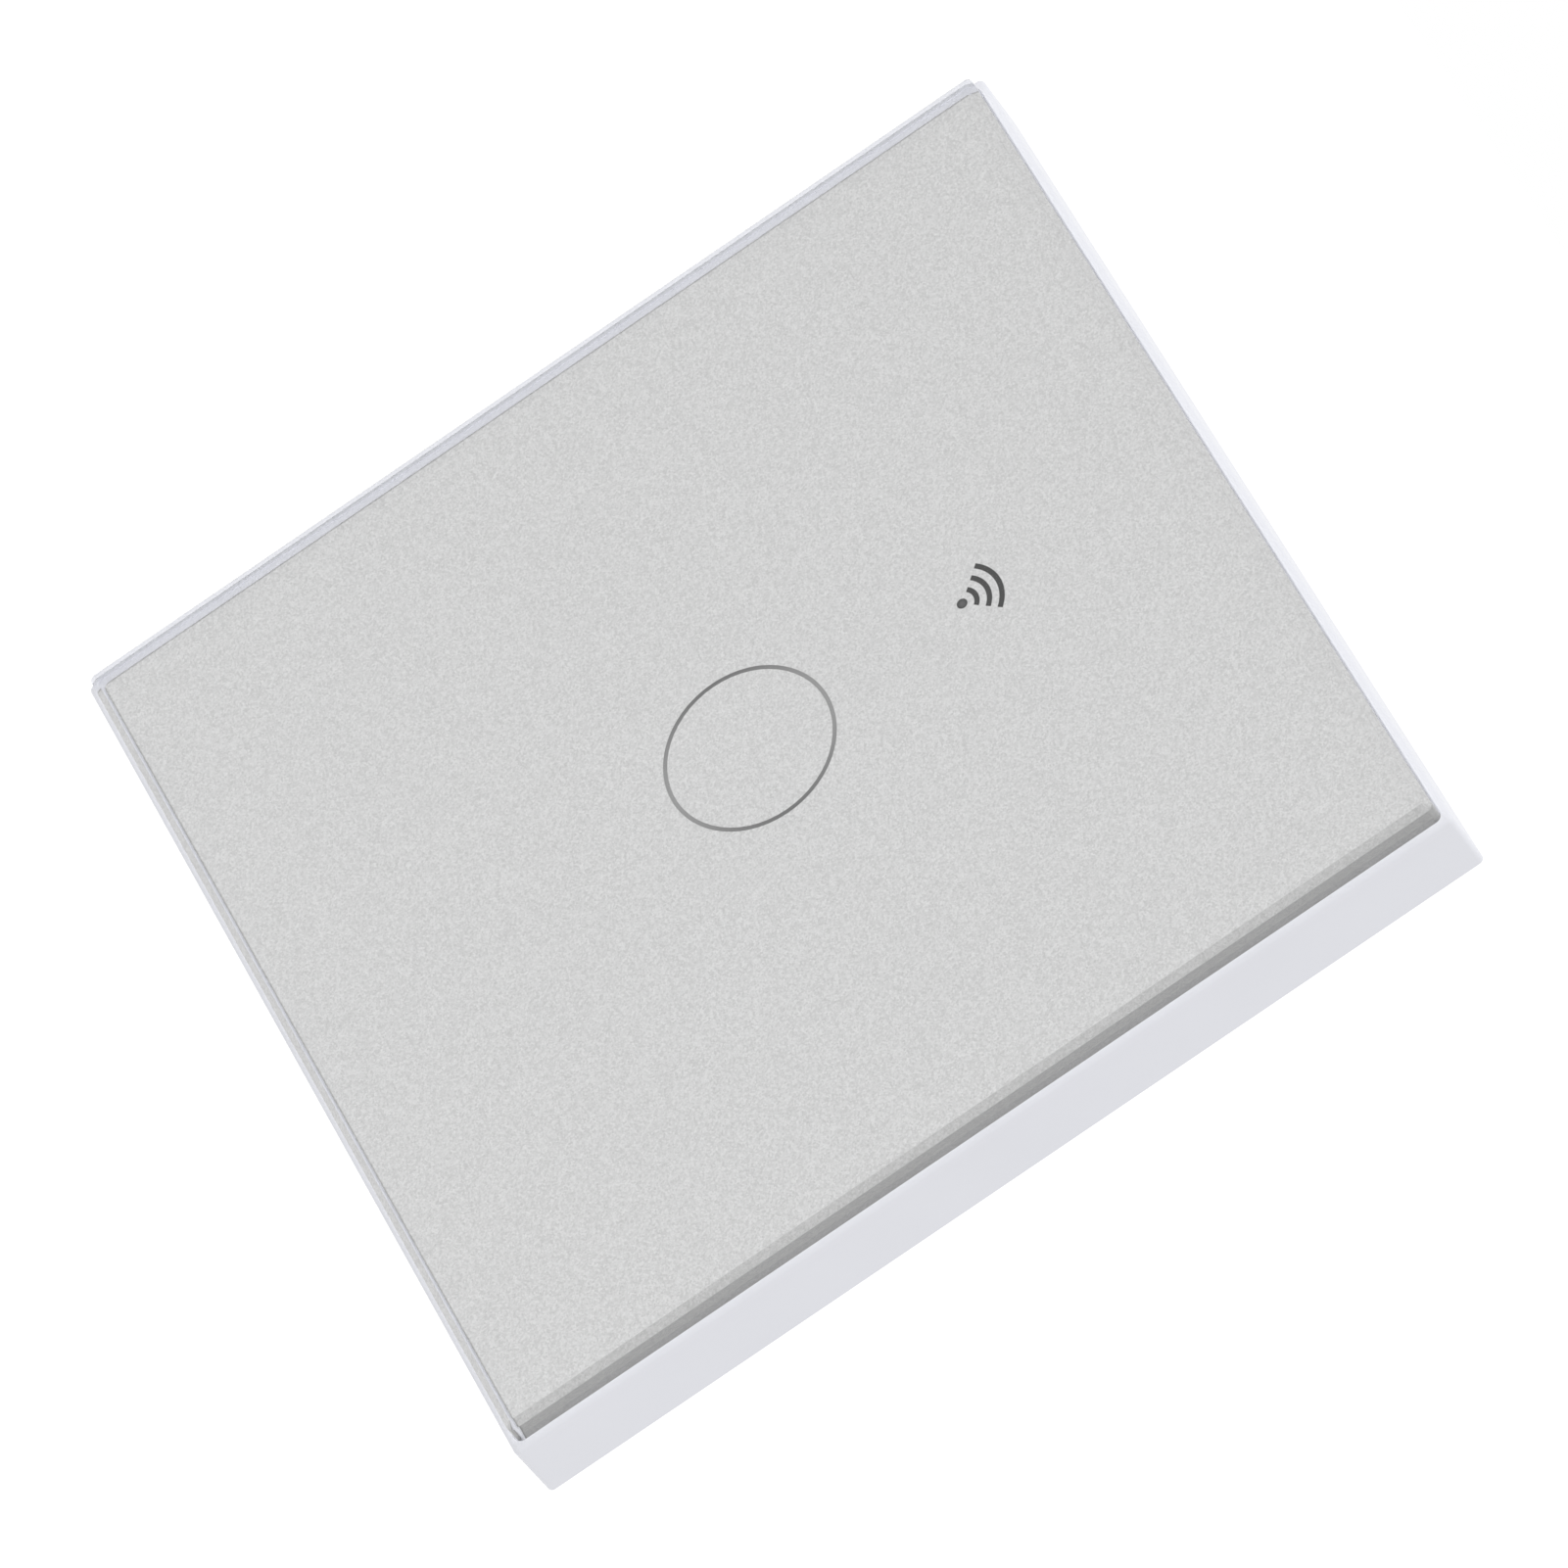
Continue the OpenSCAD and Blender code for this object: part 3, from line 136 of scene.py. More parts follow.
class Value:
    """A number's socket in a shader, so that shader maths is written as plain Python."""

    def __init__(self, board: "ShaderBoard", socket: bpy.types.NodeSocket) -> None:
        """Wrap a socket.

        Args:
            board: The board on which the node stands.
            socket: The output socket that gives the number.
        """
        self.board = board
        self.socket = socket

    def __add__(self, other: "Operand") -> "Value":
        """Add."""
        return self.board.maths("ADD", self, other)

    __radd__ = __add__

    def __sub__(self, other: "Operand") -> "Value":
        """Subtract."""
        return self.board.maths("SUBTRACT", self, other)

    def __rsub__(self, other: "Operand") -> "Value":
        """Subtract this value from the other."""
        return self.board.maths("SUBTRACT", other, self)

    def __mul__(self, other: "Operand") -> "Value":
        """Multiply."""
        return self.board.maths("MULTIPLY", self, other)

    __rmul__ = __mul__

    def __truediv__(self, other: "Operand") -> "Value":
        """Divide."""
        return self.board.maths("DIVIDE", self, other)

    def __pow__(self, other: "Operand") -> "Value":
        """Raise to a power."""
        return self.board.maths("POWER", self, other)

    def __mod__(self, other: "Operand") -> "Value":
        """Keep what is left over, always from 0 up."""
        return self.board.maths("FLOORED_MODULO", self, other)

    def __gt__(self, other: "Operand") -> "Value":
        """Give 1 where this value is greater."""
        return self.board.maths("GREATER_THAN", self, other)

    def __lt__(self, other: "Operand") -> "Value":
        """Give 1 where this value is less."""
        return self.board.maths("LESS_THAN", self, other)

    def __abs__(self) -> "Value":
        """Drop the sign."""
        return self.board.maths("ABSOLUTE", self)

    def clamped(self) -> "Value":
        """Hold the value between 0 and 1."""
        return self.board.maths("MINIMUM", self.board.maths("MAXIMUM", self, 0.0), 1.0)

    def wave(self) -> "Value":
        """Give the sine of the value in radians."""
        return self.board.maths("SINE", self)

    def or_more(self, other: "Operand") -> "Value":
        """Give the larger of two values."""
        return self.board.maths("MAXIMUM", self, other)

    def or_less(self, other: "Operand") -> "Value":
        """Give the smaller of two values."""
        return self.board.maths("MINIMUM", self, other)


Operand = Union[Value, float]


class ShaderBoard:
    """The node tree of one material, filled node by node."""

    def __init__(self, name: str) -> None:
        """Start an empty material.

        Args:
            name: The material's name.
        """
        self.material = bpy.data.materials.new(name)
        self.material.use_nodes = True
        self.tree = self.material.node_tree
        self.tree.nodes.clear()
        self.column = 0

    def node(
        self, kind: str, settings: Optional[dict] = None, inputs: Optional[dict] = None
    ) -> bpy.types.Node:
        """Add a node.

        Args:
            kind: Blender's name for the node type.
            settings: Its settings, such as an operation.
            inputs: Values, sockets or numbers for its inputs, by name or by place.

        Returns:
            The new node.
        """
        made = self.tree.nodes.new(kind)
        made.location = (180 * (self.column % 12), -260 * (self.column // 12))
        self.column += 1
        for key, setting in (settings or {}).items():
            setattr(made, key, setting)
        for key, given in (inputs or {}).items():
            if isinstance(given, Value):
                self.tree.links.new(given.socket, made.inputs[key])
            elif isinstance(given, bpy.types.NodeSocket):
                self.tree.links.new(given, made.inputs[key])
            else:
                made.inputs[key].default_value = given
        return made

    def maths(self, operation: str, *operands: Operand) -> Value:
        """Add one step of arithmetic.

        Args:
            operation: The Math node's operation.
            operands: Its values or numbers.

        Returns:
            The result.
        """
        made = self.node("ShaderNodeMath", {"operation": operation}, dict(enumerate(operands)))
        return Value(self, made.outputs[0])

    def place(self) -> tuple[Value, Value, Value]:
        """Give the point on the piece as three values, in metres."""
        parts = self.node("ShaderNodeSeparateXYZ", inputs={0: self.spot()})
        return tuple(Value(self, out) for out in parts.outputs)

    def spot(self) -> bpy.types.NodeSocket:
        """Give the point on the piece as a vector, in metres."""
        return self.node("ShaderNodeTexCoord").outputs["Object"]

    def stretched(self, scale: Point) -> bpy.types.NodeSocket:
        """Give the point after a stretch along X, Y and Z."""
        return self.node("ShaderNodeMapping", inputs={"Vector": self.spot(), "Scale": scale}).outputs[0]

    def noise(self, size: float, detail: float = 2.0, where: Optional[bpy.types.NodeSocket] = None) -> Value:
        """Add cloudy noise from 0 to 1.

        Args:
            size: Width of a cloud, in metres, or in the units of the given vector.
            detail: Octaves of finer noise.
            where: Vector to read in place of the point on the piece.

        Returns:
            The noise.
        """
        made = self.node(
            "ShaderNodeTexNoise", inputs={"Vector": where or self.spot(), "Scale": 1 / size, "Detail": detail}
        )
        return Value(self, made.outputs[0])

    def grains(self, size: float, spread: float = 1.0, where: Optional[bpy.types.NodeSocket] = None) -> Value:
        """Add grains, each with a random number from 0 to 1.

        Args:
            size: Width of a grain, in metres.
            spread: How randomly the grains lie.
            where: Vector to read in place of the point on the piece.

        Returns:
            The number of the grain at each point.
        """
        made = self.node(
            "ShaderNodeTexVoronoi",
            inputs={"Vector": where or self.spot(), "Scale": 1 / size, "Randomness": spread},
        )
        return Value(self, self.node("ShaderNodeSeparateColor", inputs={0: made.outputs["Color"]}).outputs[0])

    def dots(self, spacing: float, radius: float, where: Optional[bpy.types.NodeSocket] = None) -> Value:
        """Add round dots that are scattered in cells.

        Args:
            spacing: Mean distance between dots, in metres.
            radius: A dot's radius, in metres.
            where: Vector to read in place of the point on the piece.

        Returns:
            1 in a dot and 0 outside.
        """
        made = self.node(
            "ShaderNodeTexVoronoi", inputs={"Vector": where or self.spot(), "Scale": 1 / spacing}
        )
        return Value(self, made.outputs["Distance"]) < radius / spacing

    def mixed(self, factor: Value, first: object, second: object) -> bpy.types.NodeSocket:
        """Mix two colours.

        Args:
            factor: 0 for the first and 1 for the second.
            first: A colour or a colour socket.
            second: A colour or a colour socket.

        Returns:
            The mixed colour.
        """
        made = self.node("ShaderNodeMix", {"data_type": "RGBA"}, {0: factor, 6: first, 7: second})
        return made.outputs[2]

    def toned(self, colour: Colour, factor: Value) -> bpy.types.NodeSocket:
        """Multiply a colour by a value."""
        scaled = self.node(
            "ShaderNodeVectorMath", {"operation": "SCALE"}, {0: tuple(colour[:3]), "Scale": factor}
        )
        return scaled.outputs[0]

    def relief(self, height: Value, depth: float) -> bpy.types.NodeSocket:
        """Turn a height from 0 to 1 into a bumped normal.

        Args:
            height: The height.
            depth: Depth of the relief, in metres.

        Returns:
            The normal.
        """
        made = self.node("ShaderNodeBump", inputs={"Height": height, "Distance": depth, "Strength": 1.0})
        return made.outputs[0]

    def surface(self, **inputs: object) -> bpy.types.NodeSocket:
        """Add the main shader; an input's name is written with an underscore for each space."""
        named = {key.replace("_", " "): given for key, given in inputs.items()}
        return self.node("ShaderNodeBsdfPrincipled", inputs=named).outputs[0]

    def finished(self, shader: bpy.types.NodeSocket) -> bpy.types.Material:
        """Link the shader to the output.

        Args:
            shader: The shader to show.

        Returns:
            The material.
        """
        self.node("ShaderNodeOutputMaterial", inputs={"Surface": shader})
        return self.material


@dataclass(frozen=True)
class Moulding:
    """Injection-moulded plastic with a spark-eroded skin and faint flow marks."""

    name: str
    colour: Colour
    roughness: float = 0.38
    grain: float = 0.12 * MM
    depth: float = 0.003 * MM
    flow: float = 0.02
    clearness: float = 0.0

    def material(self) -> bpy.types.Material:
        """Build the material.

        Returns:
            The finished material.
        """
        board = ShaderBoard(self.name)
        flow = board.noise(9 * MM, 3)
        skin = board.noise(self.grain, 2)
        tone = 1 - self.flow + 2 * self.flow * flow
        return board.finished(
            board.surface(
                Base_Color=board.toned(self.colour, tone),
                Roughness=(self.roughness - 0.06) + 0.12 * board.noise(3 * MM, 4),
                Normal=board.relief(skin, self.depth),
                Specular_IOR_Level=0.45,
                Transmission_Weight=self.clearness,
                IOR=1.49,
            )
        )


@dataclass(frozen=True)
class Metal:
    """Bare or plated metal with fine drawing lines and a little stain."""

    name: str
    colour: Colour
    roughness: float = 0.28
    line: float = 0.05 * MM
    stretch: Point = (1, 1, 12)
    stain: float = 0.12
    depth: float = 0.0012 * MM

    def material(self) -> bpy.types.Material:
        """Build the material.

        Returns:
            The finished material.
        """
        board = ShaderBoard(self.name)
        lines = board.noise(self.line, 2, board.stretched(tuple(1 / part for part in self.stretch)))
        stain = board.noise(2.5 * MM, 4)
        tone = (1 - self.stain) + self.stain * (0.4 * lines + stain)
        return board.finished(
            board.surface(
                Base_Color=board.toned(self.colour, tone),
                Metallic=1.0,
                Roughness=(self.roughness - 0.05) + 0.1 * lines + 0.1 * stain,
                Normal=board.relief(lines, self.depth),
            )
        )


@dataclass(frozen=True)
class FloatGlass:
    """Polished glass that lets lamps through to what is bonded behind it.

    One-way glass does so only from inside: light that falls on a slab's side never leaves by its front.
    """

    name: str = "front_glass"
    colour: Colour = (0.985, 0.99, 0.99, 1.0)
    roughness: float = 0.012
    one_way: bool = False

    def material(self) -> bpy.types.Material:
        """Build the material.

        Returns:
            The finished material.
        """
        board = ShaderBoard(self.name)
        glass = board.surface(
            Base_Color=self.colour, Roughness=self.roughness, IOR=1.52, Transmission_Weight=1.0
        )
        through = board.node("ShaderNodeBsdfTransparent").outputs[0]
        path = board.node("ShaderNodeLightPath").outputs
        lamp = Value(board, path["Is Shadow Ray"]).or_more(Value(board, path["Is Diffuse Ray"]))
        lamp = lamp.or_more(Value(board, path["Is Glossy Ray"]))
        if self.one_way:
            lamp = lamp * Value(board, board.node("ShaderNodeNewGeometry").outputs["Backfacing"])
        either = board.node("ShaderNodeMixShader", inputs={0: lamp, 1: glass, 2: through})
        return board.finished(either.outputs[0])


@dataclass(frozen=True)
class SparklePrint:
    """Grey metallic paint on the back of the glass: its flakes lie flat in a dark binder."""

    name: str = "flake_print"
    colour: Colour = shade(209, 209, 209)
    half: float = 41.75 * MM
    rim: float = 0.12 * MM
    rim_tone: float = 0.68
    flake: float = 0.16 * MM
    contrast: float = 0.36
    metal: float = 0.9
    roughness: float = 0.36
    flop: float = 1.35

    def material(self) -> bpy.types.Material:
        """Build the material.

        Returns:
            The finished material.
        """
        board = ShaderBoard(self.name)
        flat = board.stretched((1, 0.001, 1))
        coarse = board.grains(self.flake, 1.0, flat)
        fine = board.grains(self.flake * 0.62, 1.0, flat)
        cloud = board.noise(14 * MM, 2)
        x, _, z = board.place()
        on_rim = abs(x).or_more(abs(z)) > self.half - self.rim
        tone = 1 + self.contrast * (0.6 * coarse + 0.4 * fine - 0.5) + 0.012 * (cloud - 0.5)
        tone = tone * (1 - (1 - self.rim_tone) * on_rim)
        flakes = board.surface(
            Base_Color=board.toned(self.colour, tone),
            Metallic=self.metal,
            Roughness=self.roughness + 0.1 * fine,
            Specular_IOR_Level=0.0,
        )
        binder = board.surface(Base_Color=board.toned(shade(24, 24, 25), tone), Roughness=0.5)
        slant = Value(board, board.node("ShaderNodeLayerWeight", inputs={"Blend": 0.5}).outputs["Facing"])
        mixed = board.node("ShaderNodeMixShader", inputs={0: self.flop * slant, 1: flakes, 2: binder})
        return board.finished(mixed.outputs[0])


@dataclass(frozen=True)
class MarkingInk:
    """Screen ink of the ring and the signal icon: the ring is a grey hairline with painted light and shade
    round it, the icon nearly black.
    """

    centre: Vector
    ring_radius: float
    dot: Vector
    dot_radius: float
    name: str = "marking_ink"
    ring_shaded: Colour = shade(104, 104, 104)
    ring_lit: Colour = shade(150, 150, 150)
    icon_colour: Colour = shade(46, 46, 46)
    dot_middle: Colour = shade(84, 84, 84)

    def material(self) -> bpy.types.Material:
        """Build the material.

        Returns:
            The finished material.
        """
        board = ShaderBoard(self.name)
        x, _, z = board.place()
        across = x - self.centre.x
        along = z - self.centre.z
        radius = (across * across + along * along) ** 0.5
        # Painted light and shade: the ring is painted lighter at its top and bottom and darker at its left
        # and right sides.
        side = (abs(across) / self.ring_radius) ** 2
        ring = board.mixed(side, self.ring_lit, self.ring_shaded)
        dot_x = x - self.dot.x
        dot_z = z - self.dot.z
        inside = 1 - ((dot_x * dot_x + dot_z * dot_z) ** 0.5 / self.dot_radius).clamped()
        icon = board.mixed((inside * 1.3).clamped(), self.icon_colour, self.dot_middle)
        on_icon = radius > self.ring_radius * 1.15
        speck = 0.94 + 0.12 * board.noise(0.15 * MM, 1)
        ink = board.mixed(on_icon, ring, icon)
        toned = board.node("ShaderNodeVectorMath", {"operation": "SCALE"}, {0: ink, "Scale": speck})
        return board.finished(
            board.surface(Base_Color=toned.outputs[0], Roughness=0.6, Specular_IOR_Level=0.2)
        )


@dataclass(frozen=True)
class CircuitBoard:
    """Glass-fibre board under solder mask, with copper tracks and plated holes that show through; the holes'
    dark middles are painted shade.
    """

    name: str
    low: float
    high: float
    mask: Colour = shade(16, 92, 52)
    track: Colour = shade(62, 150, 92)
    core: Colour = shade(186, 172, 120)
    via: Colour = shade(196, 168, 96)
    pitch: float = 2.54 * MM
    spacing: float = 0.62 * MM
    width: float = 0.26 * MM

    def material(self) -> bpy.types.Material:
        """Build the material.

        Returns:
            The finished material.
        """
        board = ShaderBoard(self.name)
        flat = board.stretched((1, 0.01, 1))
        x, depth, z = board.place()
        rows = board.grains(2.2 * self.pitch, 0.8, board.stretched((0.3, 0.01, 1))) > 0.58
        columns = board.grains(2.2 * self.pitch, 0.8, board.stretched((1, 0.01, 0.3))) > 0.66
        along = rows * ((z % self.spacing) < self.width)
        across = columns * ((x % self.spacing) < self.width)
        copper = along.or_more(across).or_more((1 - rows) * (1 - columns) * 0.7)
        hole = board.dots(1.9 * self.pitch, 0.16 * MM, flat)
        ring = board.dots(1.9 * self.pitch, 0.32 * MM, flat)
        face = (depth < self.low + 0.05 * MM).or_more(depth > self.high - 0.05 * MM)
        weave = board.noise(0.35 * MM, 1)
        masked = board.mixed(copper, self.mask, self.track)
        with_rings = board.mixed(ring - hole, masked, self.via)
        # Painted shade: each hole's middle is painted nearly black.
        with_holes = board.mixed(hole, with_rings, shade(20, 24, 20))
        cut = board.toned(self.core, 0.85 + 0.3 * weave)
        return board.finished(
            board.surface(
                Base_Color=board.mixed(face, cut, with_holes),
                Metallic=(ring - hole) * face,
                Roughness=0.75 - 0.47 * face + 0.06 * weave,
                Normal=board.relief(copper * 0.8 + weave * 0.15, 0.03 * MM),
            )
        )


@dataclass(frozen=True)
class WoundWire:
    """Enamelled wire wound in close turns round an axis along X or Y, with painted shade in the creases
    between the turns.
    """

    name: str
    wire: float
    colour: Colour
    along_x: bool = False
    dark: float = 0.35

    def material(self) -> bpy.types.Material:
        """Build the material.

        Returns:
            The finished material.
        """
        board = ShaderBoard(self.name)
        x, y, _ = board.place()
        turn = 0.5 + 0.5 * ((x if self.along_x else y) * (2 * math.pi / self.wire)).wave()
        # Painted shade: the colour falls to the dark share in the creases between turns.
        tone = self.dark + (1 - self.dark) * turn * (0.85 + 0.3 * board.noise(0.6 * MM, 2))
        return board.finished(
            board.surface(
                Base_Color=board.toned(self.colour, tone),
                Metallic=0.75,
                Roughness=0.3,
                Coat_Weight=0.5,
                Coat_Roughness=0.12,
                Normal=board.relief(turn, self.wire * 0.45),
            )
        )


@dataclass(frozen=True)
class Sintered:
    """Pressed and fired ceramic, such as ferrite or a resistor's coat, with fine pores that are painted
    darker as painted shade.
    """

    name: str
    colour: Colour
    roughness: float = 0.62
    pore: float = 0.16 * MM

    def material(self) -> bpy.types.Material:
        """Build the material.

        Returns:
            The finished material.
        """
        board = ShaderBoard(self.name)
        pores = board.dots(3 * self.pore, self.pore)
        grit = board.noise(0.1 * MM, 3)
        # Painted shade: each pore is painted darker.
        tone = 0.85 + 0.35 * grit - 0.3 * pores
        return board.finished(
            board.surface(
                Base_Color=board.toned(self.colour, tone),
                Roughness=self.roughness - 0.1 + 0.25 * grit,
                Normal=board.relief(grit - 0.8 * pores, 0.012 * MM),
            )
        )


@dataclass(frozen=True)
class DippedCoat:
    """Glossy epoxy that a part was dipped in, thick and a little uneven."""

    name: str
    colour: Colour

    def material(self) -> bpy.types.Material:
        """Build the material.

        Returns:
            The finished material.
        """
        board = ShaderBoard(self.name)
        swell = board.noise(1.6 * MM, 2)
        return board.finished(
            board.surface(
                Base_Color=board.toned(self.colour, 0.85 + 0.3 * swell),
                Roughness=0.22 + 0.12 * swell,
                Coat_Weight=0.6,
                Coat_Roughness=0.1,
                Normal=board.relief(swell, 0.12 * MM),
            )
        )


@dataclass(frozen=True)
class SleevedCan:
    """Shrink sleeve on an aluminium can: a pale stripe down one side and bare metal at the end."""

    name: str
    centre: Vector
    radius: float
    low: float
    high: float
    sleeve: Colour = shade(28, 34, 52)
    stripe: Colour = shade(176, 182, 190)
    can: Colour = shade(186, 186, 190)

    def material(self) -> bpy.types.Material:
        """Build the material.

        Returns:
            The finished material.
        """
        board = ShaderBoard(self.name)
        x, y, z = board.place()
        across = x - self.centre.x
        along = z - self.centre.z
        radius = (across * across + along * along) ** 0.5
        bare = (y > self.high - 0.25 * MM) * (radius < self.radius * 0.82)
        stripe = (across > self.radius * 0.82) * (1 - bare)
        minus = (abs(along) < self.radius * 0.2) * (((y - self.low) % (2.2 * MM)) < 0.7 * MM)
        printed = board.mixed(stripe * (1 - minus), self.sleeve, self.stripe)
        scuff = board.noise(0.5 * MM, 3)
        score = (abs(across).or_less(abs(along)) < 0.16 * MM) * (radius < self.radius * 0.62) * bare
        return board.finished(
            board.surface(
                # Painted shade: the score's groove on the bare end is painted dark grey.
                Base_Color=board.mixed(score, board.mixed(bare, printed, self.can), shade(104, 104, 108)),
                Metallic=bare,
                Roughness=0.24 + 0.14 * scuff,
                Normal=board.relief(0.06 * scuff - score, 0.15 * MM),
            )
        )


@dataclass(frozen=True)
class BandedResistor:
    """Matt coat of a resistor that lies along X, with four printed bands."""

    name: str
    centre: Vector
    half: float
    coat: Colour = shade(120, 150, 132)
    bands: tuple[Colour, ...] = (
        shade(150, 40, 30), shade(40, 30, 26), shade(190, 100, 30), shade(184, 150, 60),
    )

    def material(self) -> bpy.types.Material:
        """Build the material.

        Returns:
            The finished material.
        """
        board = ShaderBoard(self.name)
        x, _, _ = board.place()
        share = (x - (self.centre.x - self.half)) / (2 * self.half)
        colour: object = self.coat
        for number, band in enumerate(self.bands):
            place = 0.22 + 0.16 * number + (0.08 if number == len(self.bands) - 1 else 0)
            colour = board.mixed(abs(share - place) < 0.035, colour, band)
        grit = board.noise(0.2 * MM, 3)
        return board.finished(
            board.surface(
                Base_Color=colour, Roughness=0.45 + 0.15 * grit, Normal=board.relief(grit, 0.015 * MM)
            )
        )


@dataclass(frozen=True)
class FrostedClear:
    """Clear plastic with a finely frosted skin, which spreads light."""

    name: str
    colour: Colour = (0.93, 0.95, 0.97, 1.0)
    clearness: float = 0.4

    def material(self) -> bpy.types.Material:
        """Build the material.

        Returns:
            The finished material.
        """
        board = ShaderBoard(self.name)
        frost = board.noise(0.08 * MM, 2)
        return board.finished(
            board.surface(
                Base_Color=board.toned(self.colour, 0.96 + 0.06 * frost),
                Roughness=0.35 + 0.15 * frost,
                Transmission_Weight=self.clearness,
                IOR=1.49,
                Normal=board.relief(frost, 0.004 * MM),
            )
        )


@dataclass(frozen=True)
class FoamTape:
    """Double-sided foam tape with open cells along its edge."""

    name: str = "foam_tape"
    colour: Colour = shade(236, 236, 230)

    def material(self) -> bpy.types.Material:
        """Build the material.

        Returns:
            The finished material.
        """
        board = ShaderBoard(self.name)
        cell = board.grains(0.18 * MM)
        return board.finished(
            board.surface(
                Base_Color=board.toned(self.colour, 0.9 + 0.12 * cell),
                Roughness=0.8 + 0.1 * cell,
                Normal=board.relief(cell, 0.03 * MM),
            )
        )


class Workpiece:
    """A mesh that is shaped with Blender's modelling operators, as by hand."""

    def __init__(self, made: bpy.types.Object, name: str) -> None:
        """Take a fresh primitive in hand.

        Args:
            made: The object that a primitive operator has just made.
            name: The piece's name.
        """
        self.thing = made
        self.thing.name = name
        self.thing.data.name = name

    @staticmethod
    def clear_selection() -> None:
        """Leave edit mode and deselect everything."""
        if bpy.context.object is not None and bpy.context.object.mode != "OBJECT":
            bpy.ops.object.mode_set(mode="OBJECT")
        bpy.ops.object.select_all(action="DESELECT")

    @classmethod
    def block(cls, name: str, low: Iterable[float], high: Iterable[float]) -> "Workpiece":
        """Start from a block between two opposite corners.

        Args:
            name: The piece's name.
            low: One corner, in metres.
            high: The opposite corner.

        Returns:
            The new workpiece.
        """
        cls.clear_selection()
        first, last = (Vector(pick(parts) for parts in zip(low, high)) for pick in (min, max))
        bpy.ops.mesh.primitive_cube_add(size=1, location=(first + last) / 2)
        made = bpy.context.object
        made.scale = last - first
        piece = cls(made, name)
        piece.set_in_place()
        return piece

    @classmethod
    def rod(cls, name: str, centre: Iterable[float], radius: float, depth: float, sides: int = 32,
            way: Way = Way.OUT) -> "Workpiece":
        """Start from a round rod along one direction.

        Args:
            name: The piece's name.
            centre: Its middle, in metres.
            radius: Its radius.
            depth: Its length.
            sides: Corners round it.
            way: The direction of its axis.

        Returns:
            The new workpiece.
        """
        cls.clear_selection()
        turn = way.value.to_track_quat("Z", "Y").to_euler()
        bpy.ops.mesh.primitive_cylinder_add(
            vertices=sides, radius=radius, depth=depth, location=Vector(centre), rotation=turn
        )
        piece = cls(bpy.context.object, name)
        piece.set_in_place()
        return piece

    @classmethod
    def coil(cls, name: str, start: Iterable[float], radius: float, wire: float, pitch: float, turns: int,
             way: Way, sides: int = 12) -> "Workpiece":
        """Wind a wire into a coil, such as a spring or a thread.

        Args:
            name: The piece's name.
            start: Middle of the coil's first end.
            radius: Radius at the middle of the wire.
            wire: The wire's own radius.
            pitch: Rise of a turn.
            turns: Number of whole turns.
            way: Direction in which the coil rises.
            sides: Corners round the wire; 4 give a thread's sharp crest.

        Returns:
            The new workpiece.
        """
        cls.clear_selection()
        bpy.ops.mesh.primitive_circle_add(
            vertices=sides, radius=wire, location=(radius, 0, 0), rotation=(math.pi / 2, 0, 0)
        )
        piece = cls(bpy.context.object, name)
        piece.set_in_place()
        piece._apply("SCREW", axis="Z", angle=2 * math.pi, screw_offset=pitch, iterations=turns, steps=28,
                     render_steps=28)
        with piece:
            bpy.ops.mesh.select_all(action="SELECT")
            bpy.ops.mesh.fill_holes(sides=0)
            bpy.ops.mesh.normals_make_consistent(inside=False)
        piece.thing.rotation_euler = way.value.to_track_quat("Z", "Y").to_euler()
        piece.thing.location = Vector(start)
        piece.set_in_place()
        return piece

    def set_in_place(self) -> None:
        """Move the object's place, turn and scale into its mesh."""
        self.clear_selection()
        self.thing.select_set(True)
        bpy.context.view_layer.objects.active = self.thing
        bpy.ops.object.transform_apply(location=True, rotation=True, scale=True)

    def __enter__(self) -> "Workpiece":
        """Open the mesh in edit mode with nothing selected."""
        self.clear_selection()
        self.thing.select_set(True)
        bpy.context.view_layer.objects.active = self.thing
        bpy.ops.object.mode_set(mode="EDIT")
        bpy.ops.mesh.select_all(action="DESELECT")
        return self

    def __exit__(self, *problem: object) -> None:
        """Leave edit mode."""
        bpy.ops.object.mode_set(mode="OBJECT")

    def faces(self, test: Callable[[Vector, Vector], bool]) -> int:
        """Select faces by their normal and middle.

        Args:
            test: Says whether a face with that normal and middle is wanted.

        Returns:
            How many faces are selected.
        """
        bpy.ops.mesh.select_mode(type="FACE")
        bpy.ops.mesh.select_all(action="DESELECT")
        mesh = bmesh.from_edit_mesh(self.thing.data)
        for face in mesh.faces:
            if test(face.normal, face.calc_center_median()):
                face.select_set(True)
        bmesh.update_edit_mesh(self.thing.data)
        return sum(face.select for face in mesh.faces)

    def edges(self, test: Callable[[Vector, Vector], bool]) -> int:
        """Select edges by their two ends.

        Args:
            test: Says whether an edge between those points is wanted.

        Returns:
            How many edges are selected.
        """
        bpy.ops.mesh.select_mode(type="EDGE")
        bpy.ops.mesh.select_all(action="DESELECT")
        mesh = bmesh.from_edit_mesh(self.thing.data)
        for edge in mesh.edges:
            if test(edge.verts[0].co, edge.verts[1].co):
                edge.select_set(True)
        bmesh.update_edit_mesh(self.thing.data)
        return sum(edge.select for edge in mesh.edges)

    def bevel(self, width: float, segments: int = 1) -> None:
        """Bevel the selected edges.

        Args:
            width: Distance of the new edges from the old.
            segments: Strips in the bevel.
        """
        bpy.ops.mesh.bevel(offset=width, segments=segments, profile=0.5, affect="EDGES")

    def extrude(self, shift: Iterable[float]) -> None:
        """Extrude the selected faces by a shift in metres."""
        bpy.ops.mesh.extrude_region_move(TRANSFORM_OT_translate={"value": Vector(shift)})

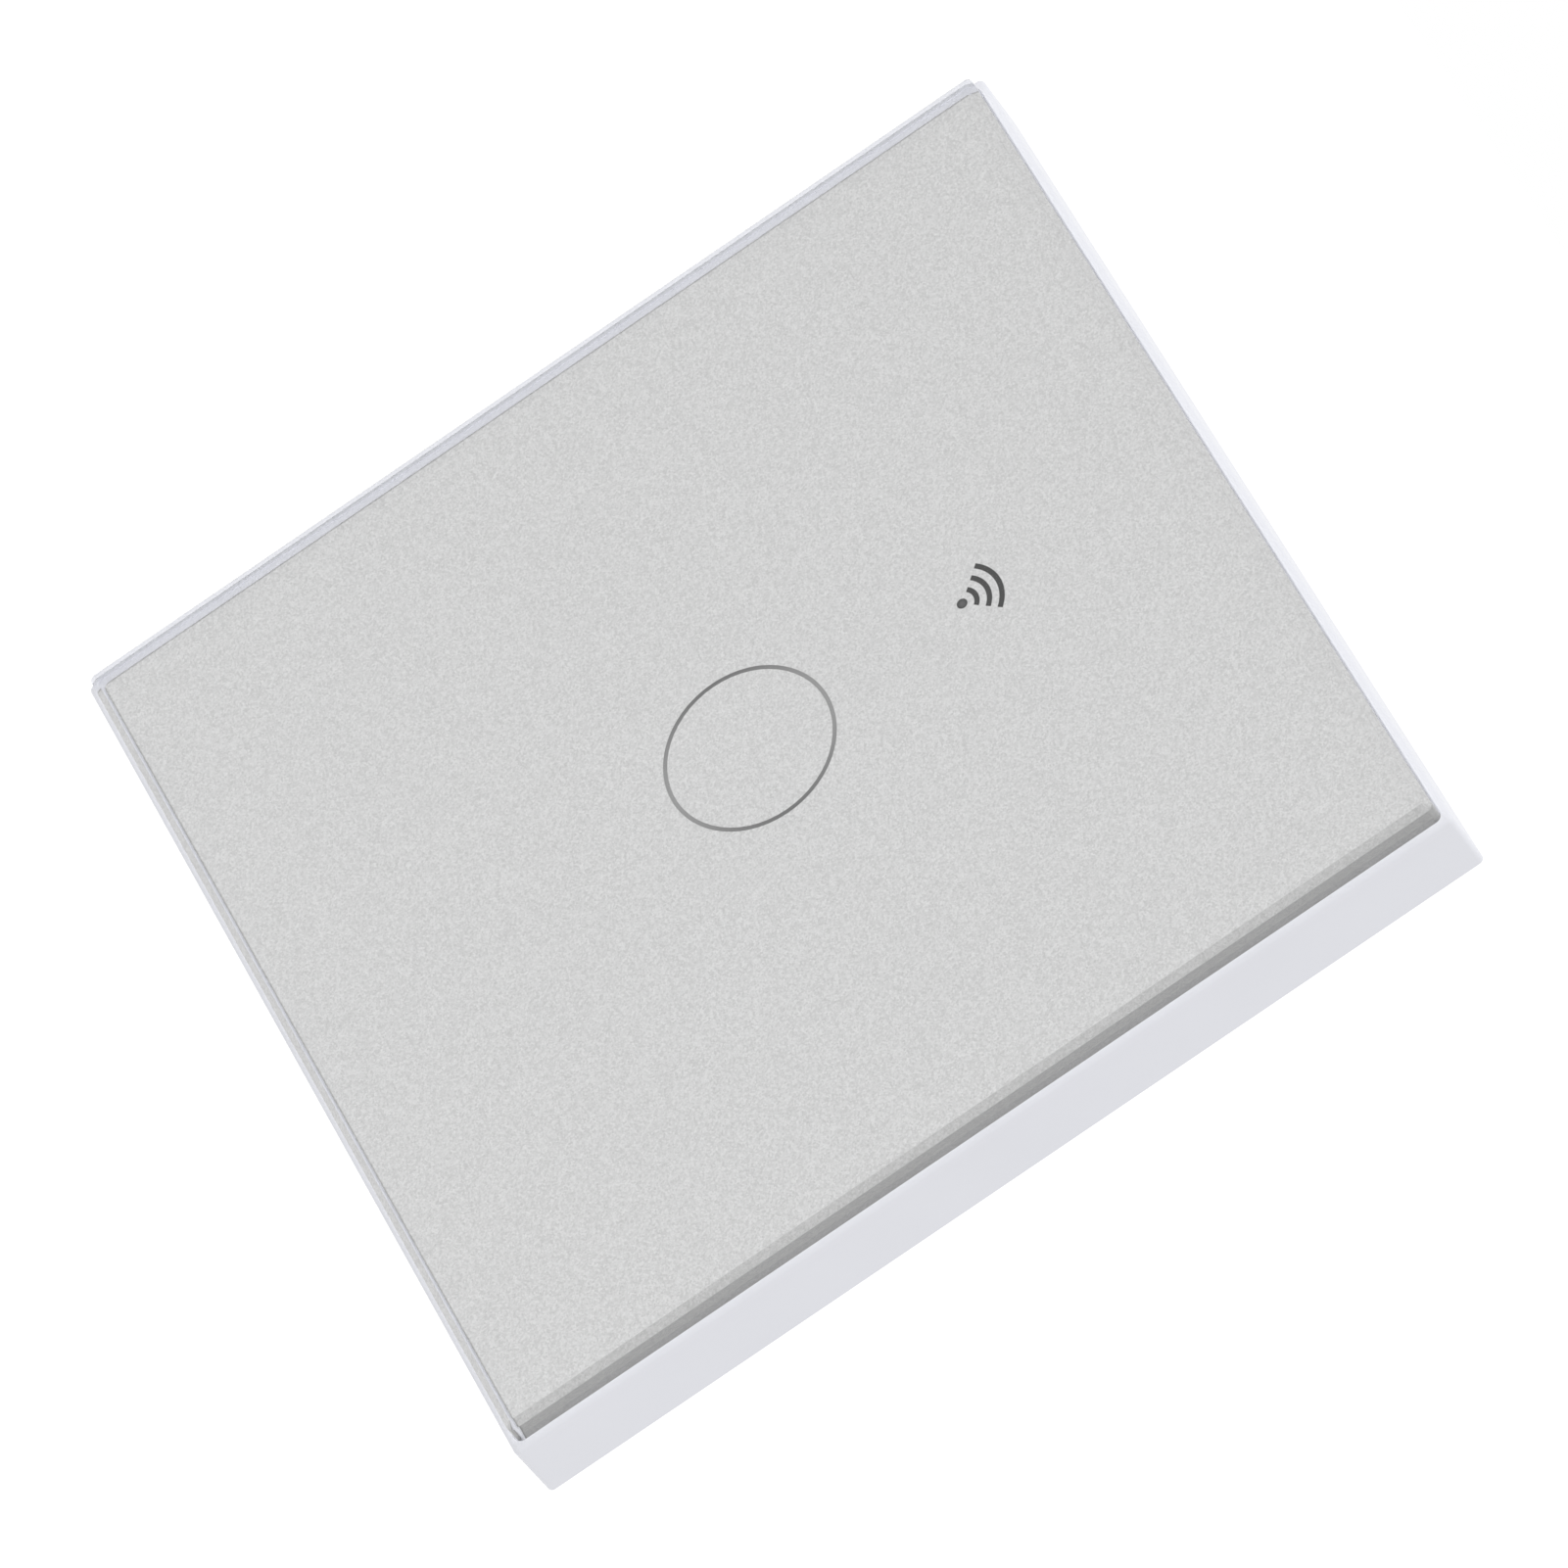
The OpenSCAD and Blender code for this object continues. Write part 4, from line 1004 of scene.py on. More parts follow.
    def inset(self, width: float, depth: float = 0.0) -> None:
        """Inset the selected faces, and sink them by a depth that is negative inwards."""
        bpy.ops.mesh.inset(thickness=width, depth=depth)

    def resize(self, factor: float) -> None:
        """Scale what is selected about its own middle."""
        chosen = [point.co for point in bmesh.from_edit_mesh(self.thing.data).verts if point.select]
        middle_point = sum(chosen, Vector()) / len(chosen)
        bpy.ops.transform.resize(value=(factor, factor, factor), center_override=middle_point)

    def turn(self, degrees: float, centre: Iterable[float]) -> None:
        """Turn the whole piece about an axis through a centre, straight out of the wall."""
        with self:
            bpy.ops.mesh.select_all(action="SELECT")
            bpy.ops.transform.rotate(
                value=math.radians(degrees), orient_axis="Y", center_override=Vector(centre)
            )

    def join(self, *others: "Workpiece") -> None:
        """Join other workpieces into this one."""
        self.clear_selection()
        for piece in (self, *others):
            piece.thing.select_set(True)
        bpy.context.view_layer.objects.active = self.thing
        bpy.ops.object.join()

    def soften(self, width: float, segments: int = 2, angle: float = 30) -> None:
        """Round all sharp edges a little.

        Args:
            width: Width of the rounding, in metres.
            segments: Strips in it.
            angle: Edges that turn more than this many degrees are rounded.
        """
        self._apply("BEVEL", width=width, segments=segments, limit_method="ANGLE",
                    angle_limit=math.radians(angle), harden_normals=False)

    def _apply(self, kind: str, **settings: object) -> None:
        """Add a modifier with its settings and apply it."""
        self.clear_selection()
        self.thing.select_set(True)
        bpy.context.view_layer.objects.active = self.thing
        made = self.thing.modifiers.new("finish", kind)
        for key, setting in settings.items():
            setattr(made, key, setting)
        bpy.ops.object.modifier_apply(modifier=made.name)

    def cut(self, *tools: "Workpiece") -> None:
        """Cut other workpieces out of this one, and throw them away."""
        for tool in tools:
            self._apply("BOOLEAN", object=tool.thing, operation="DIFFERENCE", solver="EXACT")
            bpy.data.objects.remove(tool.thing)

    def smooth(self, angle: float = 35) -> None:
        """Shade smoothly over edges that turn less than an angle in degrees, and keep wide faces flat."""
        self.clear_selection()
        self.thing.select_set(True)
        bpy.context.view_layer.objects.active = self.thing
        bpy.ops.object.shade_smooth_by_angle(angle=math.radians(angle))
        self._apply("WEIGHTED_NORMAL", weight=100, keep_sharp=True)

    def copy(self, name: str, shift: Iterable[float]) -> "Workpiece":
        """Copy the piece, mesh and all, to another place.

        Args:
            name: The copy's name.
            shift: Its distance from this piece, in metres.

        Returns:
            The copy.
        """
        twin = self.thing.copy()
        twin.data = self.thing.data.copy()
        bpy.context.scene.collection.objects.link(twin)
        twin.data.transform(Matrix.Translation(Vector(shift)))
        return Workpiece(twin, name)

    def dress(self, body: Body, slot: str, finish: bpy.types.Material, *stands_for: str) -> None:
        """Finish the piece and set it on its body.

        Args:
            body: The body that it rides on.
            slot: The record's slot for its material; not used.
            finish: Its material.
            stands_for: Construction nodes that it replaces.
        """
        self.thing.data.materials.clear()
        self.thing.data.materials.append(finish)
        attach(self.thing, body.value)
        if stands_for:
            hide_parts(*stands_for)
        LOG.info("%s: %d faces", self.thing.name, len(self.thing.data.polygons))

    def line(self, finish: bpy.types.Material, test: Callable[[Vector, Vector], bool]) -> None:
        """Give some faces a second finish.

        Args:
            finish: The material.
            test: Says whether a face with that normal and middle gets it.
        """
        self.thing.data.materials.append(finish)
        for face in self.thing.data.polygons:
            if test(face.normal, face.center):
                face.material_index = len(self.thing.data.materials) - 1


def dress_node(name: str, finish: bpy.types.Material) -> None:
    """Give a construction node its material.

    Args:
        name: The node's name.
        finish: The material.
    """
    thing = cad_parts[name]
    if not thing.material_slots:
        thing.data.materials.append(finish)
    for slot in thing.material_slots:
        slot.material = finish
    LOG.info("%s: %s", name, finish.name)


@dataclass
class Paints:
    """The finishes that more than one sub-assembly uses, each built once."""

    built: dict[str, bpy.types.Material] = field(default_factory=dict)

    def of(self, finish: object) -> bpy.types.Material:
        """Build a finish the first time that it is asked for.

        Args:
            finish: One of the finishes.

        Returns:
            Its material.
        """
        if finish.name not in self.built:
            self.built[finish.name] = finish.material()
        return self.built[finish.name]


WHITE = Moulding("white_plastic", shade(233, 234, 240), roughness=0.34)
BLACK = Moulding("black_plastic", shade(38, 38, 40), roughness=0.42, grain=0.08 * MM)
ZINC = Metal("zinc_plate", shade(196, 198, 204), roughness=0.3)
BRASS = Metal("brass", shade(212, 180, 104), roughness=0.24)
TIN = Metal("tin_plate", shade(208, 210, 212), roughness=0.18, stain=0.06)
STEEL = Metal("spring_steel", shade(186, 188, 194), roughness=0.2)
GOLD = Metal("gold_flash", shade(224, 190, 112), roughness=0.16, stain=0.05)
SOLDER = Metal("solder", shade(200, 202, 206), roughness=0.14, line=0.3 * MM, stain=0.1)
CERAMIC = Sintered("capacitor_ceramic", shade(176, 142, 104), roughness=0.5, pore=0.03 * MM)


def corners_of(right: float, up: float) -> list[tuple[float, float]]:
    """Give the four places that lie as far to each side, and as far up and down."""
    return [(side * right, height * up) for side in (-1, 1) for height in (-1, 1)]


@dataclass(frozen=True)
class CrossScrew:
    """Sizes of a screw with a cross recess, in metres."""

    head: float
    head_height: float
    crown: float
    shank: float
    length: float
    threaded: float
    pitch: float
    recess: float
    recess_width: float
    recess_depth: float
    long_slot: bool = False

    def build(self, name: str, seat: Vector, turn: float) -> Workpiece:
        """Build the screw with its head to the rear.

        Args:
            name: The screw's name.
            seat: Middle of the underside of its head.
            turn: Angle of its cross in degrees.

        Returns:
            The finished screw.
        """
        back = Way.BACK.value
        mouth = seat + back * self.head_height
        screw = Workpiece.rod(
            name, seat + back * self.head_height / 2, self.head, self.head_height, 48, Way.BACK
        )
        with screw:
            screw.edges(lambda a, b: min(a.y, b.y) > mouth.y - 1e-7)
            screw.bevel(self.crown, 5)
        screw.cut(self._slot(mouth, turn, self.recess * (1.45 if self.long_slot else 1)),
                  self._slot(mouth, turn + 90, self.recess))
        root = self.shank * 0.84
        core = Workpiece.rod(name + "_core", seat - back * self.length / 2, root, self.length, 24)
        with core:
            core.edges(lambda a, b: max(a.y, b.y) < seat.y - self.length + 1e-7)
            core.bevel(self.shank * 0.5)
        turns = int(self.threaded / self.pitch)
        foot = seat - back * (self.length - self.shank * 0.6)
        thread = Workpiece.coil(
            name + "_thread", foot, root, self.shank * 0.16, self.pitch, turns, Way.BACK, 4
        )
        screw.join(core, thread)
        screw.smooth(32)
        return screw

    def _slot(self, mouth: Vector, turn: float, half: float) -> Workpiece:
        """Build a cutter for one bar of the cross, narrower at its bottom."""
        size = Vector((half, self.recess_depth, self.recess_width / 2))
        cutter = Workpiece.block("cutter", mouth - size, mouth + size)
        with cutter:
            cutter.faces(lambda normal, _: normal.y < -0.9)
            cutter.resize(0.6)
        cutter.turn(turn, mouth)
        return cutter


@dataclass(frozen=True)
class GullWingChip:
    """A moulded chip with gull-wing legs; sizes in millimetres, as on the drawing."""

    right: float
    up: float
    width: float
    depth: float
    height: float
    legs: int
    level: float
    side: int
    lift: float = 0.15
    leg_width: float = 0.4
    leg_reach: float = 0.9

    def _place(self, right: float, up: float, rise: float) -> Vector:
        """Give a place from the chip's own middle and its board's face."""
        return at(self.right + right, self.up + up, self.level + self.side * rise)

    def body(self, name: str) -> Workpiece:
        """Build the moulded body with a draft on its sides and a dimple at its first leg.

        Args:
            name: The body's name.

        Returns:
            The body.
        """
        chip = Workpiece.block(name, self._place(-self.width / 2, -self.depth / 2, self.lift),
                               self._place(self.width / 2, self.depth / 2, self.height))
        out = Vector((0, -self.side, 0))
        with chip:
            chip.faces(lambda normal, _: normal.dot(out) > 0.9)
            chip.resize(0.93)
        chip.soften(0.06 * MM, 2)
        dimple = self._place(-self.width / 2 + 0.55, -self.depth / 2 + 0.55, self.height)
        chip.cut(Workpiece.rod("cutter", dimple, 0.22 * MM, 0.08 * MM, 20))
        chip.smooth(30)
        return chip

    def pins(self, name: str) -> Workpiece:
        """Build the legs: a flat foot on the board, a rise and a shoulder into the body.

        Args:
            name: The legs' name.

        Returns:
            All legs as one piece.
        """
        made = []
        for edge in (-1, 1):
            for number in range(self.legs):
                along = (number - (self.legs - 1) / 2) * self.width / self.legs
                made.append(self._leg("%s_%d_%d" % (name, edge + 1, number), along, edge))
        made[0].join(*made[1:])
        made[0].thing.name = name
        made[0].smooth(25)
        return made[0]

    def _leg(self, name: str, along: float, edge: int) -> Workpiece:
        """Extrude one leg from its foot inwards."""
        tip = edge * (self.depth / 2 + self.leg_reach)
        heel = edge * (self.depth / 2 + 0.35)
        leg = Workpiece.block(name, self._place(along - self.leg_width / 2, tip, 0.0),
                              self._place(along + self.leg_width / 2, heel, 0.16))
        inward = Vector((0, 0, -edge))
        rise = Vector((0, -self.side * (self.height * 0.5 - 0.08) * MM, 0))
        with leg:
            leg.faces(lambda normal, _: normal.dot(inward) > 0.9)
            leg.extrude(inward * 0.18 * MM + rise)
            leg.extrude(inward * 0.3 * MM)
        leg.soften(0.02 * MM, 1)
        return leg


@dataclass(frozen=True)
class EndCapped:
    """Small surface-mounted resistors and capacitors with tinned ends; sizes in millimetres."""

    level: float
    side: int
    long: float = 1.6
    wide: float = 0.8
    high: float = 0.5

    def build(self, name: str, places: Sequence[tuple[float, float, int]], body: bpy.types.Material,
              ends: bpy.types.Material, home: Body, slot: str) -> None:
        """Build one piece for each place, then join them.

        Args:
            name: Name of the joined piece.
            places: Distance right and up of each, and 1 where it stands upright.
            body: Finish of the bodies.
            ends: Finish of the tinned ends.
            home: The body that they ride on.
            slot: The record's slot.
        """
        made = []
        for number, (right, up, upright) in enumerate(places):
            made.append(self._one("%s_%d" % (name, number), right, up, upright))
        made[0].join(*made[1:])
        made[0].thing.name = name
        made[0].smooth(30)
        made[0].dress(home, slot, body)
        half = (self.long / 2 - 0.28) * MM

        def at_end(_: Vector, centre: Vector) -> bool:
            """Say whether a face lies on one of the tinned ends."""
            for right, up, upright in places:
                off = centre - at(right, up, self.level)
                if max(abs(off.x), abs(off.z)) < self.long * 0.6 * MM:
                    return abs(off.z if upright else off.x) > half
            return False

        made[0].line(ends, at_end)

    def _one(self, name: str, right: float, up: float, upright: int) -> Workpiece:
        """Build one: a body whose two ends are extruded and stand a little proud."""
        half = Vector((self.long / 2 - 0.28, self.wide / 2)) if not upright else Vector(
            (self.wide / 2, self.long / 2 - 0.28))
        piece = Workpiece.block(name, at(right - half.x, up - half.y, self.level),
                                at(right + half.x, up + half.y, self.level + self.side * self.high))
        for way in ((Way.UP, Way.DOWN) if upright else (Way.RIGHT, Way.LEFT)):
            with piece:
                piece.faces(lambda normal, _, out=way.value: normal.dot(out) > 0.9)
                piece.extrude(way.value * 0.28 * MM)
        piece.soften(0.05 * MM, 2)
        return piece


@dataclass
class GlassFront:
    """The glass, the print on its back and the tape that holds it."""

    paints: Paints
    bevel: float = 0.553 * MM
    corner: float = 0.6 * MM
    icon_dot: float = 19.9 * MM
    icon_dot_radius: float = 0.45 * MM
    arris: float = 0.02 * MM
    bond: float = 0.02 * MM

    def build(self) -> None:
        """Build and dress the glass front."""
        self._glass()
        dress_node("back_print", self.paints.of(SparklePrint(half=node_box("back_print")[1].x)))
        dress_node("marking_print", self.paints.of(self._ink()))
        dress_node("adhesive_tape", self.paints.of(FoamTape()))

    def _glass(self) -> None:
        """Build the slab: rounded corners, a ground bevel along the front and polished arrises."""
        low, high = node_box("glass_panel")
        slab = Workpiece.block("glass_slab", low, high + Vector((0, self.bond, 0)))
        front = low.y
        with slab:
            slab.edges(lambda a, b: abs(a.y - b.y) > 1 * MM)
            slab.bevel(self.corner, 8)
            slab.edges(lambda a, b: abs(a.y - front) < 1e-6 and abs(b.y - front) < 1e-6)
            slab.bevel(self.bevel)
        slab.soften(self.arris, 1, 25)
        slab.smooth(30)
        slab.dress(Body.FRONT, "tempered_glass", self.paints.of(FloatGlass()), "glass_panel")
        side = FloatGlass("glass_side", (0.95, 0.955, 0.955, 1.0), 0.02, one_way=True)
        slab.line(self.paints.of(side), lambda normal, _: abs(normal.y) < 0.3)

    def _ink(self) -> MarkingInk:
        """Measure the marking: the ring is round the middle, the icon stands above it."""
        ring = node_box("marking_print")[1].x
        return MarkingInk(Vector((0, 0, 0)), ring, Vector((0, 0, self.icon_dot)), self.icon_dot_radius)


@dataclass
class WallPlate:
    """The white plate on the wall with its window, lip and lugs."""

    paints: Paints

    def build(self) -> None:
        """Dress the plate."""
        dress_node("base_frame", self.paints.of(WHITE))


@dataclass
class PanelInside:
    """What the front carries behind the glass: carrier, clips, light guides and the touch board.

    Places and sizes are in millimetres, as on the drawing, where they aren't Workpiece sizes.
    """

    paints: Paints
    board_back: float = -0.2
    board_front: float = 1.0
    spring_top: float = 5.75
    spring_radius: float = 4.2
    spring_wire: float = 0.3
    clip_x: float = 20.3
    clip_y: float = 8.0
    clip_width: float = 6.0
    clip_steel: float = 0.4
    screw_x: float = 13.2
    screw_y: float = 16.6
    header_y: float = -9.5
    header_pitch: float = 2.54
    pin_width: float = 0.64
    shield_y: float = 3.0

    def build(self) -> None:
        """Build and dress the inside of the front."""
        dress_node("panel_carrier", self.paints.of(WHITE))
        dress_node("ring_light_guide", self.paints.of(FrostedClear("light_guide")))
        dress_node("icon_light_guide", self.paints.of(FrostedClear("light_guide")))
        low, high = node_box("touch_board")
        dress_node("touch_board", self.paints.of(CircuitBoard("touch_board_mask", low.y, high.y)))
        dress_node("touch_leds", self.paints.of(DippedCoat("led_resin", shade(240, 226, 150))))
        self._clips()
        self._spring()
        self._chips()
        self._screws()
        self._header()
        self._radio()

    def _clips(self) -> None:
        """Fold the four spring clips from strip: tab, leg, bow and hook."""
        steel = self.paints.of(STEEL)
        made = []
        for side in (-1, 1):
            for height in (-self.clip_y, self.clip_y):
                made.append(self._clip("panel_clip_%d" % len(made), side, height))
        made[0].join(*made[1:])
        made[0].thing.name = "panel_clip_set"
        made[0].smooth(40)
        made[0].dress(Body.FRONT, "spring_steel", steel, "panel_clips")

    def _clip(self, name: str, side: int, height: float) -> Workpiece:
        """Fold one clip by extruding the end of its tab again and again."""
        half = self.clip_width / 2 - 0.15
        steel = self.clip_steel
        inner = side * (self.clip_x - 5.4)
        outer = side * (self.clip_x - steel)
        tab = 4.2
        clip = Workpiece.block(name, at(inner, height - half, tab), at(outer, height + half, tab - steel))
        with clip:
            clip.faces(lambda normal, _: normal.x * side > 0.9)
            clip.extrude((side * steel * MM, 0, 0))
            bend = at(outer, 0, tab - steel)
            clip.faces(lambda normal, centre: normal.y > 0.9 and centre.x * side > bend.x * side)
            for across, inwards in ((0.0, 2.4), (1.7, 1.3), (-1.5, 1.3)):
                clip.extrude((side * across * MM, inwards * MM, 0))
            clip.edges(
                lambda a, b: abs(a.x - b.x) < 1e-6 and abs(a.y - b.y) < 1e-6 and min(a.y, b.y) < 0.2 * MM
            )
            clip.bevel(0.22 * MM, 3)
        hole = at(side * (self.clip_x - 3.4), height, tab - steel / 2)
        clip.cut(Workpiece.rod("cutter", hole, 0.95 * MM, 2 * MM, 32))
        return clip

    def _spring(self) -> None:
        """Wind the touch spring, with a closed turn at each end."""
        wire = self.spring_wire * MM
        radius = self.spring_radius * MM
        closed = 2.1 * wire
        low = self.board_front * MM + wire
        high = self.spring_top * MM - wire
        open_pitch = (high - low - 2 * closed) / 3
        spring = Workpiece.coil("touch_spring_wire", (0, -low, 0), radius, wire, closed, 1, Way.OUT)
        start = (0, -low - closed, 0)
        middle_turns = Workpiece.coil("spring_middle", start, radius, wire, open_pitch, 3, Way.OUT)
        end = Workpiece.coil("spring_end", (0, -high + closed, 0), radius, wire, closed, 1, Way.OUT)
        spring.join(middle_turns, end)
        spring.smooth(60)
        spring.dress(Body.FRONT, "brass", self.paints.of(BRASS), "touch_spring")

    def _chips(self) -> None:
        """Place the chips and the small parts on the rear face of the touch board."""
        back = self.board_back
        chips = (
            GullWingChip(-13, -6, 5, 4, 1.5, 4, back, -1),
            GullWingChip(13, -6, 3, 1.6, 1.2, 3, back, -1),
            GullWingChip(13.4, 4, 3, 3, 0.9, 3, back, -1),
        )
        for number, chip in enumerate(chips):
            body = chip.body("touch_chip_%d" % number)
            body.dress(Body.FRONT, "black_plastic", self.paints.of(BLACK), "touch_chips")
            chip.pins("touch_chip_%d_legs" % number).dress(Body.FRONT, "tinned_steel", self.paints.of(TIN))
        small = EndCapped(back, -1)
        tin = self.paints.of(TIN)
        small.build(
            "touch_resistors",
            ((-11.2, 1.0, 0), (-11.2, 2.6, 0), (-11.2, 4.2, 0), (-16.4, -1.0, 1), (11.4, -9.6, 0),
             (15.0, -9.6, 0), (-3.2, -16.2, 1), (-1.2, -16.2, 1), (0.8, -16.2, 1), (10.6, 8.4, 1)),
            self.paints.of(BLACK), tin, Body.FRONT, "black_plastic")
        small.build(
            "touch_capacitors",
            ((-14.6, 1.4, 1), (-14.6, 4.0, 1), (-17.2, 2.6, 1), (12.4, 8.4, 1), (14.2, 8.4, 1),
             (17.4, 4.4, 1), (-8.6, -13.4, 0), (-8.6, -15.2, 0), (6.8, -15.6, 0)),
            self.paints.of(CERAMIC), tin, Body.FRONT, "bobbin_plastic")

    def _screws(self) -> None:
        """Drive the four screws through the touch board."""
        form = CrossScrew(1.5 * MM, 1.0 * MM, 0.45 * MM, 0.8 * MM, 4.0 * MM, 3.2 * MM, 0.5 * MM,
                          0.95 * MM, 0.42 * MM, 0.55 * MM)
        for number, (right, up) in enumerate(corners_of(self.screw_x, self.screw_y)):
            seat = at(right, up, self.board_back)
            screw = form.build("touch_board_screw_%d" % number, seat, 20 + 37 * number)
            screw.dress(Body.FRONT, "zinc_plated_steel", self.paints.of(ZINC), "touch_board_screws")

    def _header(self) -> None:
        """Build the pin header: a black body notched between its pins, and square pins with pointed ends."""
        half_w, half_d, tall = 5.13, 2.59, 1.6
        body = Workpiece.block("pin_header_body", at(-half_w, self.header_y - half_d, self.board_back),
                               at(half_w, self.header_y + half_d, self.board_back - tall))
        cutters = []
        for column in (-1, 0, 1):
            for edge in (-1, 1):
                up = self.header_y + edge * half_d
                place = at(column * self.header_pitch, up, self.board_back - tall / 2)
                cutters.append(Workpiece.rod("cutter", place, 0.5 * MM, 4 * MM, 4))
        body.cut(*cutters)
        body.soften(0.05 * MM, 1)
        body.smooth(30)
        body.dress(Body.FRONT, "black_plastic", self.paints.of(BLACK), "pin_header")
        pins = []
        half = self.pin_width / 2
        for column in range(4):
            for row in (-0.5, 0.5):
                right = (column - 1.5) * self.header_pitch
                up = self.header_y + row * self.header_pitch
                pin = Workpiece.block("header_pin_%d" % len(pins), at(right - half, up - half, -4.1),
                                      at(right + half, up + half, 1.4))
                for way in (Way.OUT, Way.BACK):
                    with pin:
                        pin.faces(lambda normal, _, out=way.value: normal.dot(out) > 0.9)
                        pin.extrude(way.value * 0.4 * MM)
                        pin.resize(0.45)
                pins.append(pin)
        pins[0].join(*pins[1:])
        pins[0].thing.name = "header_pins"
        pins[0].smooth(30)
        pins[0].dress(Body.FRONT, "brass", self.paints.of(GOLD))

    def _radio(self) -> None:
        """Dress the wireless module, and stamp its shield with a raised panel and vent holes."""
        low, high = node_box("wireless_module")
        dress_node("wireless_module", self.paints.of(
            CircuitBoard("module_mask", low.y, high.y, mask=shade(18, 30, 70), track=shade(52, 78, 140))))
        low, high = node_box("wireless_shield")
        can = Workpiece.block("wireless_shield_can", low, high)
        with can:
            can.edges(lambda a, b: abs(a.y - b.y) > 1 * MM)
            can.bevel(1.1 * MM, 5)
            can.faces(lambda normal, _: normal.y > 0.9)
            can.inset(0.6 * MM)
            can.inset(0.25 * MM, -0.12 * MM)
        inset = Vector((0.25 * MM, 0, 0.25 * MM))
        hollow_low = low + inset - Vector((0, 1 * MM, 0))
        hollow_high = high - inset - Vector((0, 0.35 * MM, 0))
        tools = [Workpiece.block("cutter", hollow_low, hollow_high)]
        for column in range(5):
            for row in range(2):
                hole = at(-3.6 + 1.8 * column, self.shield_y + (4.2 if row else -4.2), -3.2)
                tools.append(Workpiece.rod("cutter", hole, 0.3 * MM, 1.2 * MM, 16))
        can.cut(*tools)
        can.soften(0.06 * MM, 2, 50)
        can.smooth(35)
        can.dress(Body.FRONT, "tinned_steel", self.paints.of(TIN), "wireless_shield")
        self._antenna().dress(Body.FRONT, "brass", self.paints.of(GOLD))

    def _antenna(self) -> Workpiece:
        """Lay the module's antenna track: a meander beside the shield."""
        strips = []
        level, thin, width = -1.0, 0.04, 0.5
        for number in range(7):
            right = -6.0 + 1.6 * number
            strips.append(((right, 11.2), (right + width, 14.6)))
            if number < 6:
                top = 14.1 if number % 2 == 0 else 11.2
                strips.append(((right + width, top), (right + 1.6, top + width)))
        strips.append(((4.1, 11.2), (6.4, 11.7)))
        made = [Workpiece.block("antenna_%d" % number, at(a[0], a[1], level), at(b[0], b[1], level - thin))
                for number, (a, b) in enumerate(strips)]
        made[0].join(*made[1:])
        made[0].thing.name = "antenna_track"
        made[0].soften(0.01 * MM, 1)
        made[0].smooth(30)
        return made[0]


@dataclass
class RearCase:
    """The case behind the plate and the screws that hold it."""

    paints: Paints
    screw_x: float = 19.0
    head_seat: float = -22.4

    def build(self) -> None:
        """Build and dress the case."""
        dress_node("rear_housing", self.paints.of(WHITE))
        form = CrossScrew(2.3 * MM, 1.7 * MM, 0.7 * MM, 1.3 * MM, 22.1 * MM, 9 * MM, 0.9 * MM,
                          1.5 * MM, 0.62 * MM, 1.0 * MM)
        for number, (right, up) in enumerate(corners_of(self.screw_x, self.screw_x)):
            seat = at(right, up, self.head_seat)
            screw = form.build("housing_screw_%d" % number, seat, 12 + 29 * number)
            screw.dress(Body.BASE, "zinc_plated_steel", self.paints.of(ZINC), "housing_screws")


